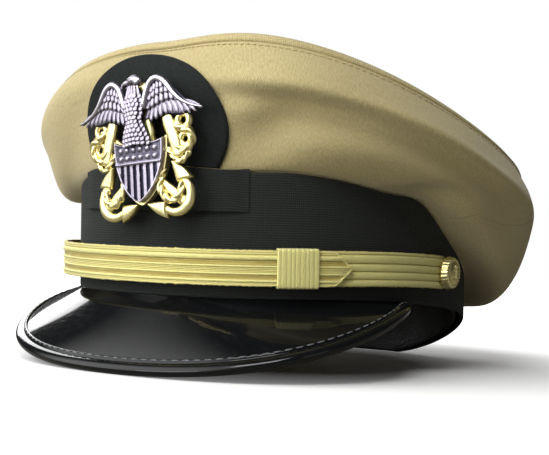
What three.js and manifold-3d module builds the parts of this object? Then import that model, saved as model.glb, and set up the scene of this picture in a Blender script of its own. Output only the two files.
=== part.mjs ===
// Peaked dress cap: a padded-out khaki cloth crown on an upright black band, with a glossy
// peak, a gold lace chin strap on two domed buttons, and a metal badge on a half-round patch.
// Millimetres. The cap is drawn in the band's own frame (front towards -Y, wearer's left +X,
// z = 0 at the middle of the chin strap), then pitched so that it rests on its peak and on
// the back of its band.
import * as THREE from 'three';
import { mergeVertices } from 'three/addons/utils/BufferGeometryUtils.js';
import Module from 'manifold-3d';

const wasm = await Module();
wasm.setup();

// Head oval, measured on the outer face of the band.
const BAND_HALF_LENGTH = 104.3;
const BAND_HALF_WIDTH = 87.8;
const OVAL_SQUARENESS = 0.0245;
const CLEARANCE = 0.3;

// How the cap stands.
const REST_PITCH = THREE.MathUtils.degToRad(2.67);
const REST_HEIGHT = 50.64;
const REST_SHIFT = -2.02;

// Cloth and leather.
const BAND_THICKNESS = 2;
const BAND_COLUMNS = 72;
const SWEATBAND_THICKNESS = 1.5;
const SWEATBAND_HEIGHT = 26;
const SWEATBAND_INSET = 1;
const SWEATBAND_OVER_BAND = 4;
const SWEATBAND_COLUMNS = 48;
const OVERLAY_COLUMNS = 14;
const OVERLAY_THICKNESS = 1.3;
const OVERLAY_HALF_ANGLE = THREE.MathUtils.degToRad(30);
const OVERLAY_BOTTOM = 23;
const OVERLAY_RISE = 1.5;
const PATCH_THICKNESS = 1.6;
const PATCH_HALF_WIDTH = 37.5;
const PATCH_CENTRE_HEIGHT = 57;
const PATCH_RISE = 34.5;
const PATCH_FALL = 27;
const PATCH_STAND = 0.9;
const PATCH_UPWARD = 0.12;
const PATCH_END = 0.999;
const PATCH_COLUMNS = 16;
const PATCH_ROWS = 8;

// Crown. The hem is tucked inside the band and turns out over its edge in a lip. The side is
// sewn from a front and a back part, whose seam slants back as it climbs.
const CROWN_THICKNESS = 1.4;
const CROWN_HEM_DEPTH = 6;
const LIP_START_RISE = 0.4;
const LIP_RISE = 1.4;
const PROFILE_LIP_ROW = 2;
const PROFILE_LAST_ROW = 6;
const CROWN_PROFILE_ROWS = [0, 1, 2, 2.5, 3, 3.5, 4, 4.5, 5, 5.33, 5.67, 6];
const SIDE_SEAM = [88, 88, 89, 90, 112, 115, 116].map(THREE.MathUtils.degToRad);
const SEAM_GAP_ANGLE = CLEARANCE / 80;
const CROWN_FRONT_COLUMNS = 35;
const CROWN_BACK_COLUMNS = 25;

// Top panel: it starts just above the seam, rolls over a rounded edge and spans the crown.
const EDGE_ROLL = [
  { back: 0.1, rise: 0.4 },
  { back: 1.2, rise: 2.2 },
  { back: 3.6, rise: 3.1 },
];
const TOP_RINGS = [0.82, 0.6, 0.35, 0];
const TOP_SINK = 1.5;
const TOP_AROUND = 60;
const ROLL_INWARD_FALL = 0.6;

// Peak.
const PEAK_HALF_ANGLE = THREE.MathUtils.degToRad(78.3);
const PEAK_REACH = 40;
const PEAK_TAPER = 3.4;
const PEAK_CORNER = 1.16;
const PEAK_DROP_FRONT = THREE.MathUtils.degToRad(46.5);
const PEAK_DROP_SIDE = THREE.MathUtils.degToRad(8);
const PEAK_BULGE = 3.6;
const PEAK_THICKNESS = 1.8;
const PEAK_END = 0.985;
const PEAK_COLUMNS = 40;
const PEAK_ROWS = 6;
const BINDING_WIDTH = 4.2;
const BINDING_THICKNESS = 0.9;
const BINDING_GAP = 0.65;
const BINDING_TRIM = 2;
const BINDING_STEPS = PEAK_COLUMNS - 2 * BINDING_TRIM;
const BINDING_END = (PEAK_END * BINDING_STEPS) / PEAK_COLUMNS;
const BINDING_TURNS = 4;

// Chin strap.
const STRAP_WIDTH = 15.2;
const STRAP_THICKNESS = 1.8;
const STRAP_TIP_ANGLE = THREE.MathUtils.degToRad(55.2);
const STRAP_TIP_LENGTH = 7;
const STRAP_UNDERLAP_ANGLE = THREE.MathUtils.degToRad(30);
const BUTTON_ANGLE = THREE.MathUtils.degToRad(91);
const BUTTON_RADIUS = 7.5;
const SHANK_RADIUS = 1.6;
const STRAP_END = BUTTON_ANGLE + 5 / BAND_HALF_WIDTH;
const STRAP_END_ROUNDING = 8;
const STRAP_LONG_COLUMNS = 64;
const STRAP_SHORT_COLUMNS = 34;
const NARROWEST_END = 0.03;
const SLIDE_FROM = THREE.MathUtils.degToRad(36.8);
const SLIDE_TO = THREE.MathUtils.degToRad(46.6);
const SLIDE_THICKNESS = 1;
const SLIDE_ROWS = 4;

// Badge. It is drawn flat, x to the wearer's left and y up from its middle, then bent back
// to the roundness of the front and stood off the cloth on its post.
const BADGE_SHIFT = 2.3;
const BADGE_HEIGHT = 50.1;
const BADGE_TILT = THREE.MathUtils.degToRad(-5.8);
const BADGE_LEAN = 0.03;
const BADGE_BEND = 240;
const BADGE_STAND = 3.8;
const ANCHOR_THICKNESS = 3;
const SHIELD_BACKING = 3.2;
const BACKING_MARGIN = 0.8;
const SHIELD_THICKNESS = 2.2;
const EAGLE_RISE = 2;
const WING_THICKNESS = 1.8;
const PLATE_BEVEL = 0.4;
const POST_RADIUS = 2.5;
const POST_BELOW_MIDDLE = 15;

// Anchor with its crown low on the wearer's right and its ring high on the left. The arms are
// an arc about a point up the shank. Palms are (along, across) the shank, and the stock's
// corners are given on the badge itself.
const ANCHOR_CROWN = new THREE.Vector2(-22.3, -26.3);
const ANCHOR_RING = new THREE.Vector2(20.7, 7.6);
const SHANK_HALF_WIDTH = 2.3;
const ANCHOR_ARM_RADIUS = 7.2;
const ANCHOR_ARM_HALF_WIDTH = 1.6;
const ANCHOR_ARM_SPREAD = 1.75;
const ANCHOR_ARM_STEPS = 12;
const PALM = [[16.8, 11], [4.6, 10.2], [9.5, 5.2]];
const STOCK = [[12.1, 11.2], [17.5, 12.7], [22.7, -6.2], [17.4, -7.7]];
const EYE_OFFSET = 2.2;
const EYE_OUTER_RADIUS = 3.8;
const EYE_INNER_RADIUS = 1.3;

// Rope: a coil beside the stock, and a strand over the anchor's crown.
const COIL_CENTRE = [23, 1.1];
const ROPE_ROUTE = [[9.5, -15], [10.8, -20], [14.8, -24], [19, -22.5], [20, -15.5]];
const ROPE_WIDTH = 3;
const ROPE_STEPS = 14;

// Sections of the cap every 30 degrees from the middle of the front (0) round to the middle
// of the back (180). 'rim' and 'top' are the heights of the band's lower and upper edges.
// Each crown row is how far it stands out from the band, and its height. The crown and the
// band's top are 'lean' higher than that on the wearer's left, and lower on the right.
const SECTION_STEP = Math.PI / 6;
const SECTIONS = {
  //          0      30     60     90     120    150    180
  rim:      [-13.3, -13.6, -14.6, -19.5, -29.0, -46.5, -57.0],
  top:      [ 40.5,  39.5,  30.5,  15.5,  -8.5, -22.5, -28.5],
  lean:     [  0.0,   1.4,   4.6,   1.5,   0.5,   0.0,   0.0],
  lipOut:   [ -1.6,  -1.0,   0.8,   0.8,   0.8,   0.8,   0.8],
  bellyOut: [ -0.5,   4.0,  13.0,  18.5,  17.0,  16.0,  14.0],
  bellyUp:  [ 52.0,  51.0,  39.0,  22.0, -14.0, -28.0, -32.0],
  wideOut:  [  0.5,  10.0,  22.0,  28.5,  33.0,  32.0,  30.0],
  wideUp:   [ 66.0,  64.0,  51.0,  33.0,  15.0,   0.0,  -6.0],
  brimOut:  [  0.5,  12.0,  23.5,  31.0,  33.0,  31.5,  29.0],
  brimUp:   [ 80.0,  77.5,  62.0,  42.0,  25.5,  11.0,   7.0],
  seamOut:  [ -4.5,   4.0,  13.5,  21.5,  26.0,  24.5,  23.0],
  seamUp:   [ 93.5,  91.2,  77.5,  58.5,  40.5,  28.0,  24.0],
};

// The chin strap at the same angles: how far its outer face stands out from the band, and
// the height of its middle.
const STRAP = {
  out: [7.0, 7.5, 8.3, 5.6, 4.2, 4.2, 4.2],
  up:  [0.0, -0.1, -0.6, -3.6, -9.0, -12.0, -12.0],
};

// Value of a section column at any angle: a smooth curve through the table, mirrored at the
// front and at the back.
function around(column, angle) {
  const last = column.length - 1;
  const position = Math.abs(angle) / SECTION_STEP;
  const index = Math.min(Math.floor(position), last - 1);
  const f = position - index;
  const pick = (i) => column[i < 0 ? -i : i > last ? 2 * last - i : i];
  const [a, b, c, d] = [pick(index - 1), pick(index), pick(index + 1), pick(index + 2)];
  return b + 0.5 * f * (c - a + f * (2 * a - 5 * b + 4 * c - d + f * (3 * (b - c) + d - a)));
}

// Height of the floor in the band's frame, at a distance y from the middle of the head.
function floorAt(y) {
  return -(y * Math.sin(REST_PITCH) + REST_HEIGHT) / Math.cos(REST_PITCH);
}

// Outward direction of the head oval at an angle from the front.
function outward(angle) {
  const x = Math.sin(angle) * BAND_HALF_LENGTH;
  const y = -Math.cos(angle) * BAND_HALF_WIDTH;
  return new THREE.Vector2(x, y).normalize();
}

// Point at an angle from the front, 'out' millimetres outside the band and 'up' high.
function headPoint(angle, out, up) {
  const swell = 1 + OVAL_SQUARENESS * Math.sin(2 * angle) ** 2;
  const direction = outward(angle);
  return new THREE.Vector3(
    BAND_HALF_WIDTH * Math.sin(angle) * swell + out * direction.x,
    -BAND_HALF_LENGTH * Math.cos(angle) * swell + out * direction.y,
    up,
  );
}

// Lower edge of the band; at the back it is cut level with the floor.
function rimHeight(angle, out = 0) {
  return Math.max(around(SECTIONS.rim, angle), floorAt(headPoint(angle, out, 0).y));
}

// The soft crown leans: it rides higher on the wearer's left than on the right.
function lean(angle) {
  return Math.sign(angle) * around(SECTIONS.lean, angle);
}

// Upper edge of the band, where the crown comes out of it.
function topHeight(angle) {
  return around(SECTIONS.top, angle) + lean(angle);
}

// Closed body between two grids of points. u runs round the piece and closes on itself where
// 'closed' is set; v runs across it. front(u, v) and back(u, v) take indices.
function slab(front, back, uCount, vCount, closed) {
  const columns = closed ? uCount : uCount + 1;
  const positions = [];
  for (const side of [front, back]) {
    for (let u = 0; u < columns; u += 1) {
      for (let v = 0; v <= vCount; v += 1) {
        positions.push(...side(u, v).toArray());
      }
    }
  }
  const at = (side, u, v) => (side * columns + (u % columns)) * (vCount + 1) + v;
  const triangles = [];
  const quad = (a, b, c, d) => triangles.push(a, b, c, a, c, d);
  for (let u = 0; u < uCount; u += 1) {
    for (let v = 0; v < vCount; v += 1) {
      quad(at(0, u, v), at(0, u + 1, v), at(0, u + 1, v + 1), at(0, u, v + 1));
      quad(at(1, u, v), at(1, u, v + 1), at(1, u + 1, v + 1), at(1, u + 1, v));
    }
    quad(at(0, u, 0), at(1, u, 0), at(1, u + 1, 0), at(0, u + 1, 0));
    quad(at(0, u, vCount), at(0, u + 1, vCount), at(1, u + 1, vCount), at(1, u, vCount));
  }
  for (let v = 0; !closed && v < vCount; v += 1) {
    quad(at(0, 0, v), at(0, 0, v + 1), at(1, 0, v + 1), at(1, 0, v));
    quad(at(0, uCount, v), at(1, uCount, v), at(1, uCount, v + 1), at(0, uCount, v + 1));
  }
  return closedGeometry(positions, triangles);
}

// Indexed geometry with its coincident vertices joined and its collapsed triangles left out.
function closedGeometry(positions, triangles) {
  const geometry = new THREE.BufferGeometry();
  geometry.setAttribute('position', new THREE.Float32BufferAttribute(positions, 3));
  geometry.setIndex(triangles);
  const merged = mergeVertices(geometry, 1e-3);
  const index = Array.from(merged.index.array);
  const kept = [];
  for (let i = 0; i < index.length; i += 3) {
    const [a, b, c] = index.slice(i, i + 3);
    if (a !== b && b !== c && c !== a) {
      kept.push(a, b, c);
    }
  }
  merged.setIndex(kept);
  merged.computeVertexNormals();
  return merged;
}

// Cloth of even thickness behind a surface given as point(u, v) on indices.
function cloth(point, thickness, uCount, vCount, closed) {
  const wrap = (u) => (closed ? (u + uCount) % uCount : THREE.MathUtils.clamp(u, 0, uCount));
  const inside = (v) => THREE.MathUtils.clamp(v, 0, vCount);
  const behind = (u, v) => {
    const along = point(wrap(u + 1), v).sub(point(wrap(u - 1), v));
    const across = point(u, inside(v + 1)).sub(point(u, inside(v - 1)));
    const normal = along.cross(across).normalize();
    return point(u, v).addScaledVector(normal, -thickness);
  };
  return slab(point, behind, uCount, vCount, closed);
}

// Upright ring or strip of cloth between two heights, 'out' from the band at its outer face.
function uprightStrip(out, thickness, low, high, from, to, uCount, vCount, closed) {
  const angleAt = (u) => from + ((to - from) * u) / uCount;
  const wall = (offset) => (u, v) => {
    const angle = angleAt(u);
    const up = THREE.MathUtils.lerp(low(angle, offset), high(angle), v / vCount);
    return headPoint(angle, offset, up);
  };
  return slab(wall(out), wall(out - thickness), uCount, vCount, closed);
}

function capBand() {
  return uprightStrip(0, BAND_THICKNESS, rimHeight, topHeight,
    -Math.PI, Math.PI, BAND_COLUMNS, 1, true);
}

function bandOverlay() {
  const out = CLEARANCE + OVERLAY_THICKNESS;
  const low = () => OVERLAY_BOTTOM;
  const high = (angle) => topHeight(angle) + OVERLAY_RISE;
  return uprightStrip(out, OVERLAY_THICKNESS, low, high,
    -OVERLAY_HALF_ANGLE, OVERLAY_HALF_ANGLE, OVERLAY_COLUMNS, 1, false);
}

function sweatband() {
  const out = -(BAND_THICKNESS + CROWN_THICKNESS + 2 * CLEARANCE);
  const low = (angle) => rimHeight(angle) + SWEATBAND_INSET;
  const high = (angle) => Math.min(
    rimHeight(angle) + SWEATBAND_HEIGHT,
    topHeight(angle) + SWEATBAND_OVER_BAND,
  );
  return uprightStrip(out, SWEATBAND_THICKNESS, low, high,
    -Math.PI, Math.PI, SWEATBAND_COLUMNS, 1, true);
}

// Outer profile of the crown's side at an angle, from the hem tucked inside the band up to
// the seam of the top panel: pairs of distance out from the band and height.
function crownProfile(angle) {
  const hem = -(BAND_THICKNESS + CLEARANCE);
  const top = topHeight(angle);
  const row = (name) => new THREE.Vector2(
    around(SECTIONS[`${name}Out`], angle),
    around(SECTIONS[`${name}Up`], angle) + lean(angle),
  );
  return [
    new THREE.Vector2(hem, top - CROWN_HEM_DEPTH),
    new THREE.Vector2(hem, top + LIP_START_RISE),
    new THREE.Vector2(around(SECTIONS.lipOut, angle), top + LIP_RISE),
    row('belly'),
    row('wide'),
    row('brim'),
    row('seam'),
  ];
}

// Smooth curve through the profile from the lip on; straight below it.
function profilePoint(profile, row) {
  const index = Math.min(Math.floor(row), profile.length - 2);
  const f = row - index;
  const b = profile[index];
  const c = profile[index + 1];
  if (index < PROFILE_LIP_ROW) {
    return b.clone().lerp(c, f);
  }
  const a = index > PROFILE_LIP_ROW ? profile[index - 1] : b;
  const last = profile.length - 1;
  const d = index + 2 > last ? c.clone().multiplyScalar(2).sub(b) : profile[index + 2];
  const blend = (p, q, r, s) => q + 0.5 * f
    * (r - p + f * (2 * p - 5 * q + 4 * r - s + f * (3 * (q - r) + s - p)));
  return new THREE.Vector2(blend(a.x, b.x, c.x, d.x), blend(a.y, b.y, c.y, d.y));
}

// Point of the crown's side; angles past the middle of the back go on round to the right.
function crownPoint(angle, row) {
  const turn = angle > Math.PI ? angle - 2 * Math.PI : angle;
  const section = profilePoint(crownProfile(turn), row);
  return headPoint(turn, section.x, section.y);
}

// Angle of the side seam at a row of the profile.
function seamAngle(row) {
  const index = Math.min(Math.floor(row), SIDE_SEAM.length - 2);
  return THREE.MathUtils.lerp(SIDE_SEAM[index], SIDE_SEAM[index + 1], row - index);
}

// One part of the crown's side between two side seams. spanAt(row) gives the angles where
// its seams lie at a row of the profile.
function crownPart(spanAt, columns) {
  const point = (u, v) => {
    const row = CROWN_PROFILE_ROWS[v];
    const [from, to] = spanAt(row);
    return crownPoint(THREE.MathUtils.lerp(from, to, u / columns), row);
  };
  return cloth(point, CROWN_THICKNESS, columns, CROWN_PROFILE_ROWS.length - 1, false);
}

function crownFrontPart() {
  const spanAt = (row) => {
    const half = seamAngle(row) - SEAM_GAP_ANGLE;
    return [-half, half];
  };
  return crownPart(spanAt, CROWN_FRONT_COLUMNS);
}

function crownBackPart() {
  const spanAt = (row) => {
    const from = seamAngle(row) + SEAM_GAP_ANGLE;
    return [from, 2 * Math.PI - from];
  };
  return crownPart(spanAt, CROWN_BACK_COLUMNS);
}

// Point of the top panel, by the rows of its rolled edge and then by its rings.
function topPanelPoint(angle, ring) {
  const seamOut = around(SECTIONS.seamOut, angle);
  const seamUp = around(SECTIONS.seamUp, angle) + lean(angle);
  if (ring < EDGE_ROLL.length) {
    const { back, rise } = EDGE_ROLL[ring];
    return headPoint(angle, seamOut - back, seamUp + rise);
  }
  const { back, rise } = EDGE_ROLL[EDGE_ROLL.length - 1];
  const share = TOP_RINGS[ring - EDGE_ROLL.length];
  const edge = headPoint(angle, seamOut - back, seamUp + rise);
  const level = (y) => {
    const front = headPoint(0, SECTIONS.seamOut[0] - back, SECTIONS.seamUp[0] + rise);
    const rear = headPoint(Math.PI, SECTIONS.seamOut[6] - back, SECTIONS.seamUp[6] + rise);
    return THREE.MathUtils.mapLinear(y, front.y, rear.y, front.z, rear.z);
  };
  const y = edge.y * share;
  const lift = (edge.z - level(edge.y)) * share ** 2 - TOP_SINK * (1 - share ** 2);
  return new THREE.Vector3(edge.x * share, y, level(y) + lift);
}

function crownTop() {
  const angleAt = (u) => -Math.PI + (2 * Math.PI * u) / TOP_AROUND;
  const rings = EDGE_ROLL.length + TOP_RINGS.length - 1;
  const outer = (u, v) => topPanelPoint(angleAt(u), v);
  const inner = (u, v) => {
    const direction = outward(angleAt(u));
    const inward = new THREE.Vector3(-direction.x, -direction.y, 0);
    if (v === 1) {
      inward.z = -ROLL_INWARD_FALL;
    }
    if (v > 1) {
      inward.set(0, 0, -1);
    }
    return topPanelPoint(angleAt(u), v).add(inward.setLength(CROWN_THICKNESS));
  };
  return slab(outer, inner, TOP_AROUND, rings, true);
}

// Point on the crown's front at a sideways distance x and a height, found by closing in on
// the angle and on the row of the profile in turn.
function crownFront(x, up) {
  const passes = 8;
  const halvings = 18;
  let angle = Math.asin(x / BAND_HALF_WIDTH);
  let point = null;
  for (let pass = 0; pass < passes; pass += 1) {
    const profile = crownProfile(angle);
    let low = PROFILE_LIP_ROW;
    let high = PROFILE_LAST_ROW;
    for (let halving = 0; halving < halvings; halving += 1) {
      const middle = (low + high) / 2;
      if (profilePoint(profile, middle).y < up) {
        low = middle;
      } else {
        high = middle;
      }
    }
    const section = profilePoint(profile, low);
    point = headPoint(angle, section.x, up);
    angle += (x - point.x) / BAND_HALF_WIDTH;
  }
  return point;
}

// Half-round cloth patch that backs the badge, standing on the overlay against the crown.
function badgePatch() {
  const outline = (u) => {
    const x = -PATCH_HALF_WIDTH * Math.cos((Math.PI * u) / PATCH_COLUMNS) * PATCH_END;
    const share = Math.sqrt(1 - (x / PATCH_HALF_WIDTH) ** 2);
    const foot = topHeight(Math.asin(x / BAND_HALF_WIDTH)) + OVERLAY_RISE + CLEARANCE;
    const low = Math.max(PATCH_CENTRE_HEIGHT - PATCH_FALL * share, foot);
    const high = PATCH_CENTRE_HEIGHT + PATCH_RISE * share;
    return { x, low, high };
  };
  const wall = (stand) => (u, v) => {
    const { x, low, high } = outline(u);
    const point = crownFront(x, THREE.MathUtils.lerp(low, high, v / PATCH_ROWS));
    const direction = outward(Math.asin(x / BAND_HALF_WIDTH));
    const normal = new THREE.Vector3(direction.x, direction.y, PATCH_UPWARD);
    return point.add(normal.setLength(stand));
  };
  return slab(wall(PATCH_STAND + PATCH_THICKNESS), wall(PATCH_STAND),
    PATCH_COLUMNS, PATCH_ROWS, false);
}

// How far the peak reaches from the band, at a share of its half angle.
function peakReach(share) {
  return PEAK_REACH * (1 - Math.abs(share) ** PEAK_TAPER) ** PEAK_CORNER;
}

// Upper face of the peak: 'across' runs from 0 at the band to 1 at the edge.
function peakPoint(share, across) {
  const angle = share * PEAK_HALF_ANGLE;
  const reach = peakReach(share);
  const drop = THREE.MathUtils.lerp(PEAK_DROP_FRONT, PEAK_DROP_SIDE, share ** 2);
  const bulge = PEAK_BULGE * (reach / PEAK_REACH) * across * (1 - across ** 3);
  const out = reach * across * Math.cos(drop) + bulge * Math.sin(drop);
  const down = reach * across * Math.sin(drop) - bulge * Math.cos(drop);
  return headPoint(angle, out, rimHeight(angle) - CLEARANCE - down);
}

function peak() {
  const point = (u, v) => {
    const share = THREE.MathUtils.mapLinear(u, 0, PEAK_COLUMNS, -PEAK_END, PEAK_END);
    if (v > 0) {
      return peakPoint(share, (v - 1) / (PEAK_ROWS - 1));
    }
    const angle = share * PEAK_HALF_ANGLE;
    return headPoint(angle, -BAND_THICKNESS, rimHeight(angle) - CLEARANCE);
  };
  const flip = (u, v) => point(u, PEAK_ROWS - v);
  return cloth(flip, PEAK_THICKNESS, PEAK_COLUMNS, PEAK_ROWS, false);
}

// Section of the binding, a channel that holds the edge of the peak. x runs away from the
// cap and y up, from the upper corner of the peak's edge.
function bindingSection() {
  const inner = BINDING_GAP;
  const outer = BINDING_GAP + BINDING_THICKNESS;
  const half = PEAK_THICKNESS / 2;
  const points = [
    new THREE.Vector2(-BINDING_WIDTH, inner),
    new THREE.Vector2(-BINDING_WIDTH, outer),
  ];
  for (let i = 0; i <= BINDING_TURNS; i += 1) {
    const turn = Math.PI / 2 - (Math.PI * i) / BINDING_TURNS;
    points.push(new THREE.Vector2(outer * Math.cos(turn), -half + (half + outer) * Math.sin(turn)));
  }
  points.push(
    new THREE.Vector2(-BINDING_WIDTH, -PEAK_THICKNESS - outer),
    new THREE.Vector2(-BINDING_WIDTH, -PEAK_THICKNESS - inner),
    new THREE.Vector2(inner, -PEAK_THICKNESS - inner),
    new THREE.Vector2(inner, inner),
  );
  return points;
}

// Closed body made by carrying a flat outline along a path of frames, with both ends capped.
function carried(section, frameAt, steps) {
  const count = section.length;
  const positions = [];
  for (let u = 0; u <= steps; u += 1) {
    const { origin, right, up } = frameAt(u / steps);
    for (const { x, y } of section) {
      const point = origin.clone().addScaledVector(right, x).addScaledVector(up, y);
      positions.push(...point.toArray());
    }
  }
  const triangles = [];
  for (let u = 0; u < steps; u += 1) {
    for (let i = 0; i < count; i += 1) {
      const [a, b] = [u * count + i, u * count + ((i + 1) % count)];
      triangles.push(a, b, b + count, a, b + count, a + count);
    }
  }
  const last = steps * count;
  for (const [a, b, c] of THREE.ShapeUtils.triangulateShape(section, [])) {
    triangles.push(a, b, c);
    triangles.push(last + a, last + c, last + b);
  }
  return facingOut(closedGeometry(positions, triangles));
}

// Turns a closed body's faces outward, judged by the sign of its volume.
function facingOut(geometry) {
  const position = geometry.getAttribute('position');
  const index = Array.from(geometry.index.array);
  const [a, b, c] = [new THREE.Vector3(), new THREE.Vector3(), new THREE.Vector3()];
  let volume = 0;
  for (let i = 0; i < index.length; i += 3) {
    a.fromBufferAttribute(position, index[i]);
    b.fromBufferAttribute(position, index[i + 1]);
    c.fromBufferAttribute(position, index[i + 2]);
    volume += a.dot(b.cross(c));
  }
  if (volume < 0) {
    geometry.setIndex(index.reverse());
  }
  geometry.computeVertexNormals();
  return geometry;
}

function peakBinding() {
  const beforeEdge = 0.92;
  const nearby = 0.005;
  const frameAt = (f) => {
    const share = THREE.MathUtils.lerp(-BINDING_END, BINDING_END, f);
    const origin = peakPoint(share, 1);
    const right = origin.clone().sub(peakPoint(share, beforeEdge)).normalize();
    const along = peakPoint(share + nearby, 1).sub(peakPoint(share - nearby, 1));
    const up = right.clone().cross(along).normalize();
    return { origin, right, up };
  };
  return carried(bindingSection(), frameAt, BINDING_STEPS);
}

function strapMiddle(angle) {
  return around(STRAP.up, angle);
}

// Strap between two angles. 'sink' is how far its outer face lies behind the outermost
// layer, and halfWidth gives its half width at an angle.
function strap(from, to, sink, halfWidth, columns) {
  const wall = (depth) => (u, v) => {
    const angle = THREE.MathUtils.lerp(from, to, u / columns);
    const out = around(STRAP.out, angle) - sink - depth;
    const up = THREE.MathUtils.lerp(-1, 1, v / 2) * halfWidth(angle);
    return headPoint(angle, out, strapMiddle(angle) + up);
  };
  return slab(wall(0), wall(STRAP_THICKNESS), columns, 2, false);
}

// Rounds a strap's end off: the width falls away over the last few millimetres.
function roundedEnd(angle, end) {
  const left = Math.abs(end - angle) * BAND_HALF_WIDTH;
  const share = THREE.MathUtils.clamp(left / STRAP_END_ROUNDING, NARROWEST_END, 1);
  return Math.sqrt(1 - (1 - share) ** 2);
}

// The long strap runs from the right button across the front and ends in a point.
function chinStrapLong() {
  const halfWidth = (angle) => {
    const left = (STRAP_TIP_ANGLE - angle) * BAND_HALF_WIDTH;
    const point = THREE.MathUtils.clamp(left / STRAP_TIP_LENGTH, NARROWEST_END, 1);
    return (STRAP_WIDTH / 2) * Math.min(point, roundedEnd(angle, -STRAP_END));
  };
  const band = strap(-STRAP_END, STRAP_TIP_ANGLE, 0, halfWidth, STRAP_LONG_COLUMNS);
  return holed(band, -BUTTON_ANGLE);
}

// The short strap runs from the left button forward, under the long one.
function chinStrapShort() {
  const halfWidth = (angle) => (STRAP_WIDTH / 2) * roundedEnd(angle, STRAP_END);
  const sink = STRAP_THICKNESS + CLEARANCE;
  const band = strap(STRAP_UNDERLAP_ANGLE, STRAP_END, sink, halfWidth, STRAP_SHORT_COLUMNS);
  return holed(band, BUTTON_ANGLE);
}

// Keeper that wraps round both layers of the strap.
function strapSlide() {
  const outer = CLEARANCE + SLIDE_THICKNESS;
  const inner = CLEARANCE;
  const depth = 2 * STRAP_THICKNESS + CLEARANCE;
  const corners = [
    { outside: true, lift: -1 },
    { outside: true, lift: 1 },
    { outside: false, lift: 1 },
    { outside: false, lift: -1 },
  ];
  const wall = (margin) => (u, v) => {
    const angle = THREE.MathUtils.lerp(SLIDE_FROM, SLIDE_TO, v / SLIDE_ROWS);
    const { outside, lift } = corners[u % corners.length];
    const out = around(STRAP.out, angle) + (outside ? margin : -depth - margin);
    const up = strapMiddle(angle) + lift * (STRAP_WIDTH / 2 + margin);
    return headPoint(angle, out, up);
  };
  return facingOut(slab(wall(outer), wall(inner), corners.length, SLIDE_ROWS, true));
}

// Places a geometry drawn along +Y so that it stands outward on the band at an angle.
function standOnBand(geometry, angle) {
  const direction = outward(angle);
  const axis = new THREE.Vector3(direction.x, direction.y, 0);
  const turn = new THREE.Quaternion().setFromUnitVectors(new THREE.Vector3(0, 1, 0), axis);
  geometry.applyQuaternion(turn);
  const seat = headPoint(angle, 0, strapMiddle(angle));
  return geometry.translate(seat.x, seat.y, seat.z);
}

// Domed button on its shank. The dome's profile is pairs of distance in from its rim and
// height over the strap's face.
const BUTTON_DOME = [
  [1, 0],
  [0, 0.7],
  [0, 1.5],
  [0.8, 2.1],
  [1.8, 3.5],
  [3.6, 4.6],
  [5.4, 5.1],
  [BUTTON_RADIUS, 5.3],
];
const BUTTON_SIDES = 20;

function strapButton(angle) {
  const undermost = angle > 0 ? STRAP_THICKNESS + CLEARANCE : 0;
  const face = around(STRAP.out, angle) - undermost + CLEARANCE;
  const shank = [[0, CLEARANCE], [SHANK_RADIUS, CLEARANCE], [SHANK_RADIUS, face]];
  const dome = BUTTON_DOME.map(([inset, rise]) => [BUTTON_RADIUS - inset, face + rise]);
  const profile = [...shank, ...dome].map(([radius, height]) => new THREE.Vector2(radius, height));
  return standOnBand(facingOut(welded(new THREE.LatheGeometry(profile, BUTTON_SIDES))), angle);
}

// Geometry reduced to its positions, with shared vertices merged.
function welded(geometry) {
  const bare = geometry.clone();
  bare.deleteAttribute('normal');
  bare.deleteAttribute('uv');
  const merged = mergeVertices(bare, 1e-3);
  const positions = Array.from(merged.getAttribute('position').array);
  return closedGeometry(positions, Array.from(merged.index.array));
}

function toSolid(geometry) {
  const bare = welded(geometry);
  return new wasm.Manifold(new wasm.Mesh({
    numProp: 3,
    vertProperties: new Float32Array(bare.getAttribute('position').array),
    triVerts: new Uint32Array(bare.index.array),
  }));
}

function fromSolid(solid) {
  const { vertProperties, triVerts } = solid.getMesh();
  return closedGeometry(Array.from(vertProperties), Array.from(triVerts));
}

// A strap with a hole for the button's shank at an angle.
function holed(geometry, angle) {
  const radius = SHANK_RADIUS + CLEARANCE;
  const drillLength = 20;
  const drill = new THREE.CylinderGeometry(radius, radius, drillLength, 16);
  return fromSolid(toSolid(geometry).subtract(toSolid(standOnBand(drill, angle))));
}

// Shield with a pointed foot and a double-arched top, grown outward all round.
function shieldShape(grow) {
  const shape = new THREE.Shape();
  shape.moveTo(0, -23.8 - grow);
  shape.quadraticCurveTo(-15.4 - grow, -13.5, -13.3 - grow, 3 + grow);
  shape.quadraticCurveTo(-6, 1.2 + grow, 0, 2.6 + grow);
  shape.quadraticCurveTo(6, 1.2 + grow, 13.3 + grow, 3 + grow);
  shape.quadraticCurveTo(15.4 + grow, -13.5, 0, -23.8 - grow);
  return shape;
}

// Spread wing on the wearer's left; its outline runs from the shoulder over the arch to the
// tip and back along the feather ends.
function wingShape() {
  const shape = new THREE.Shape();
  shape.moveTo(1.5, 10.5);
  shape.lineTo(3.6, 18);
  shape.quadraticCurveTo(6.5, 29, 13, 29.2);
  shape.quadraticCurveTo(17.5, 28.6, 21, 22.8);
  shape.quadraticCurveTo(25.4, 16.8, 34, 13.2);
  shape.quadraticCurveTo(31, 11.3, 22.7, 11.4);
  shape.lineTo(15.5, 11.9);
  shape.lineTo(9, 10.2);
  return shape;
}

// Body of the eagle from its tail on the shield up to a head that looks to the wearer's right.
function eagleShape() {
  const shape = new THREE.Shape();
  shape.moveTo(-7.4, 1);
  shape.quadraticCurveTo(-3, 9.5, -5, 17.5);
  shape.lineTo(-3.2, 22.5);
  shape.lineTo(-6.4, 25);
  shape.quadraticCurveTo(-5.5, 30, 0, 30.2);
  shape.quadraticCurveTo(4.6, 29.8, 4, 23);
  shape.lineTo(5, 17.5);
  shape.quadraticCurveTo(3, 9.5, 7.4, 1);
  return shape;
}

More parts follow.
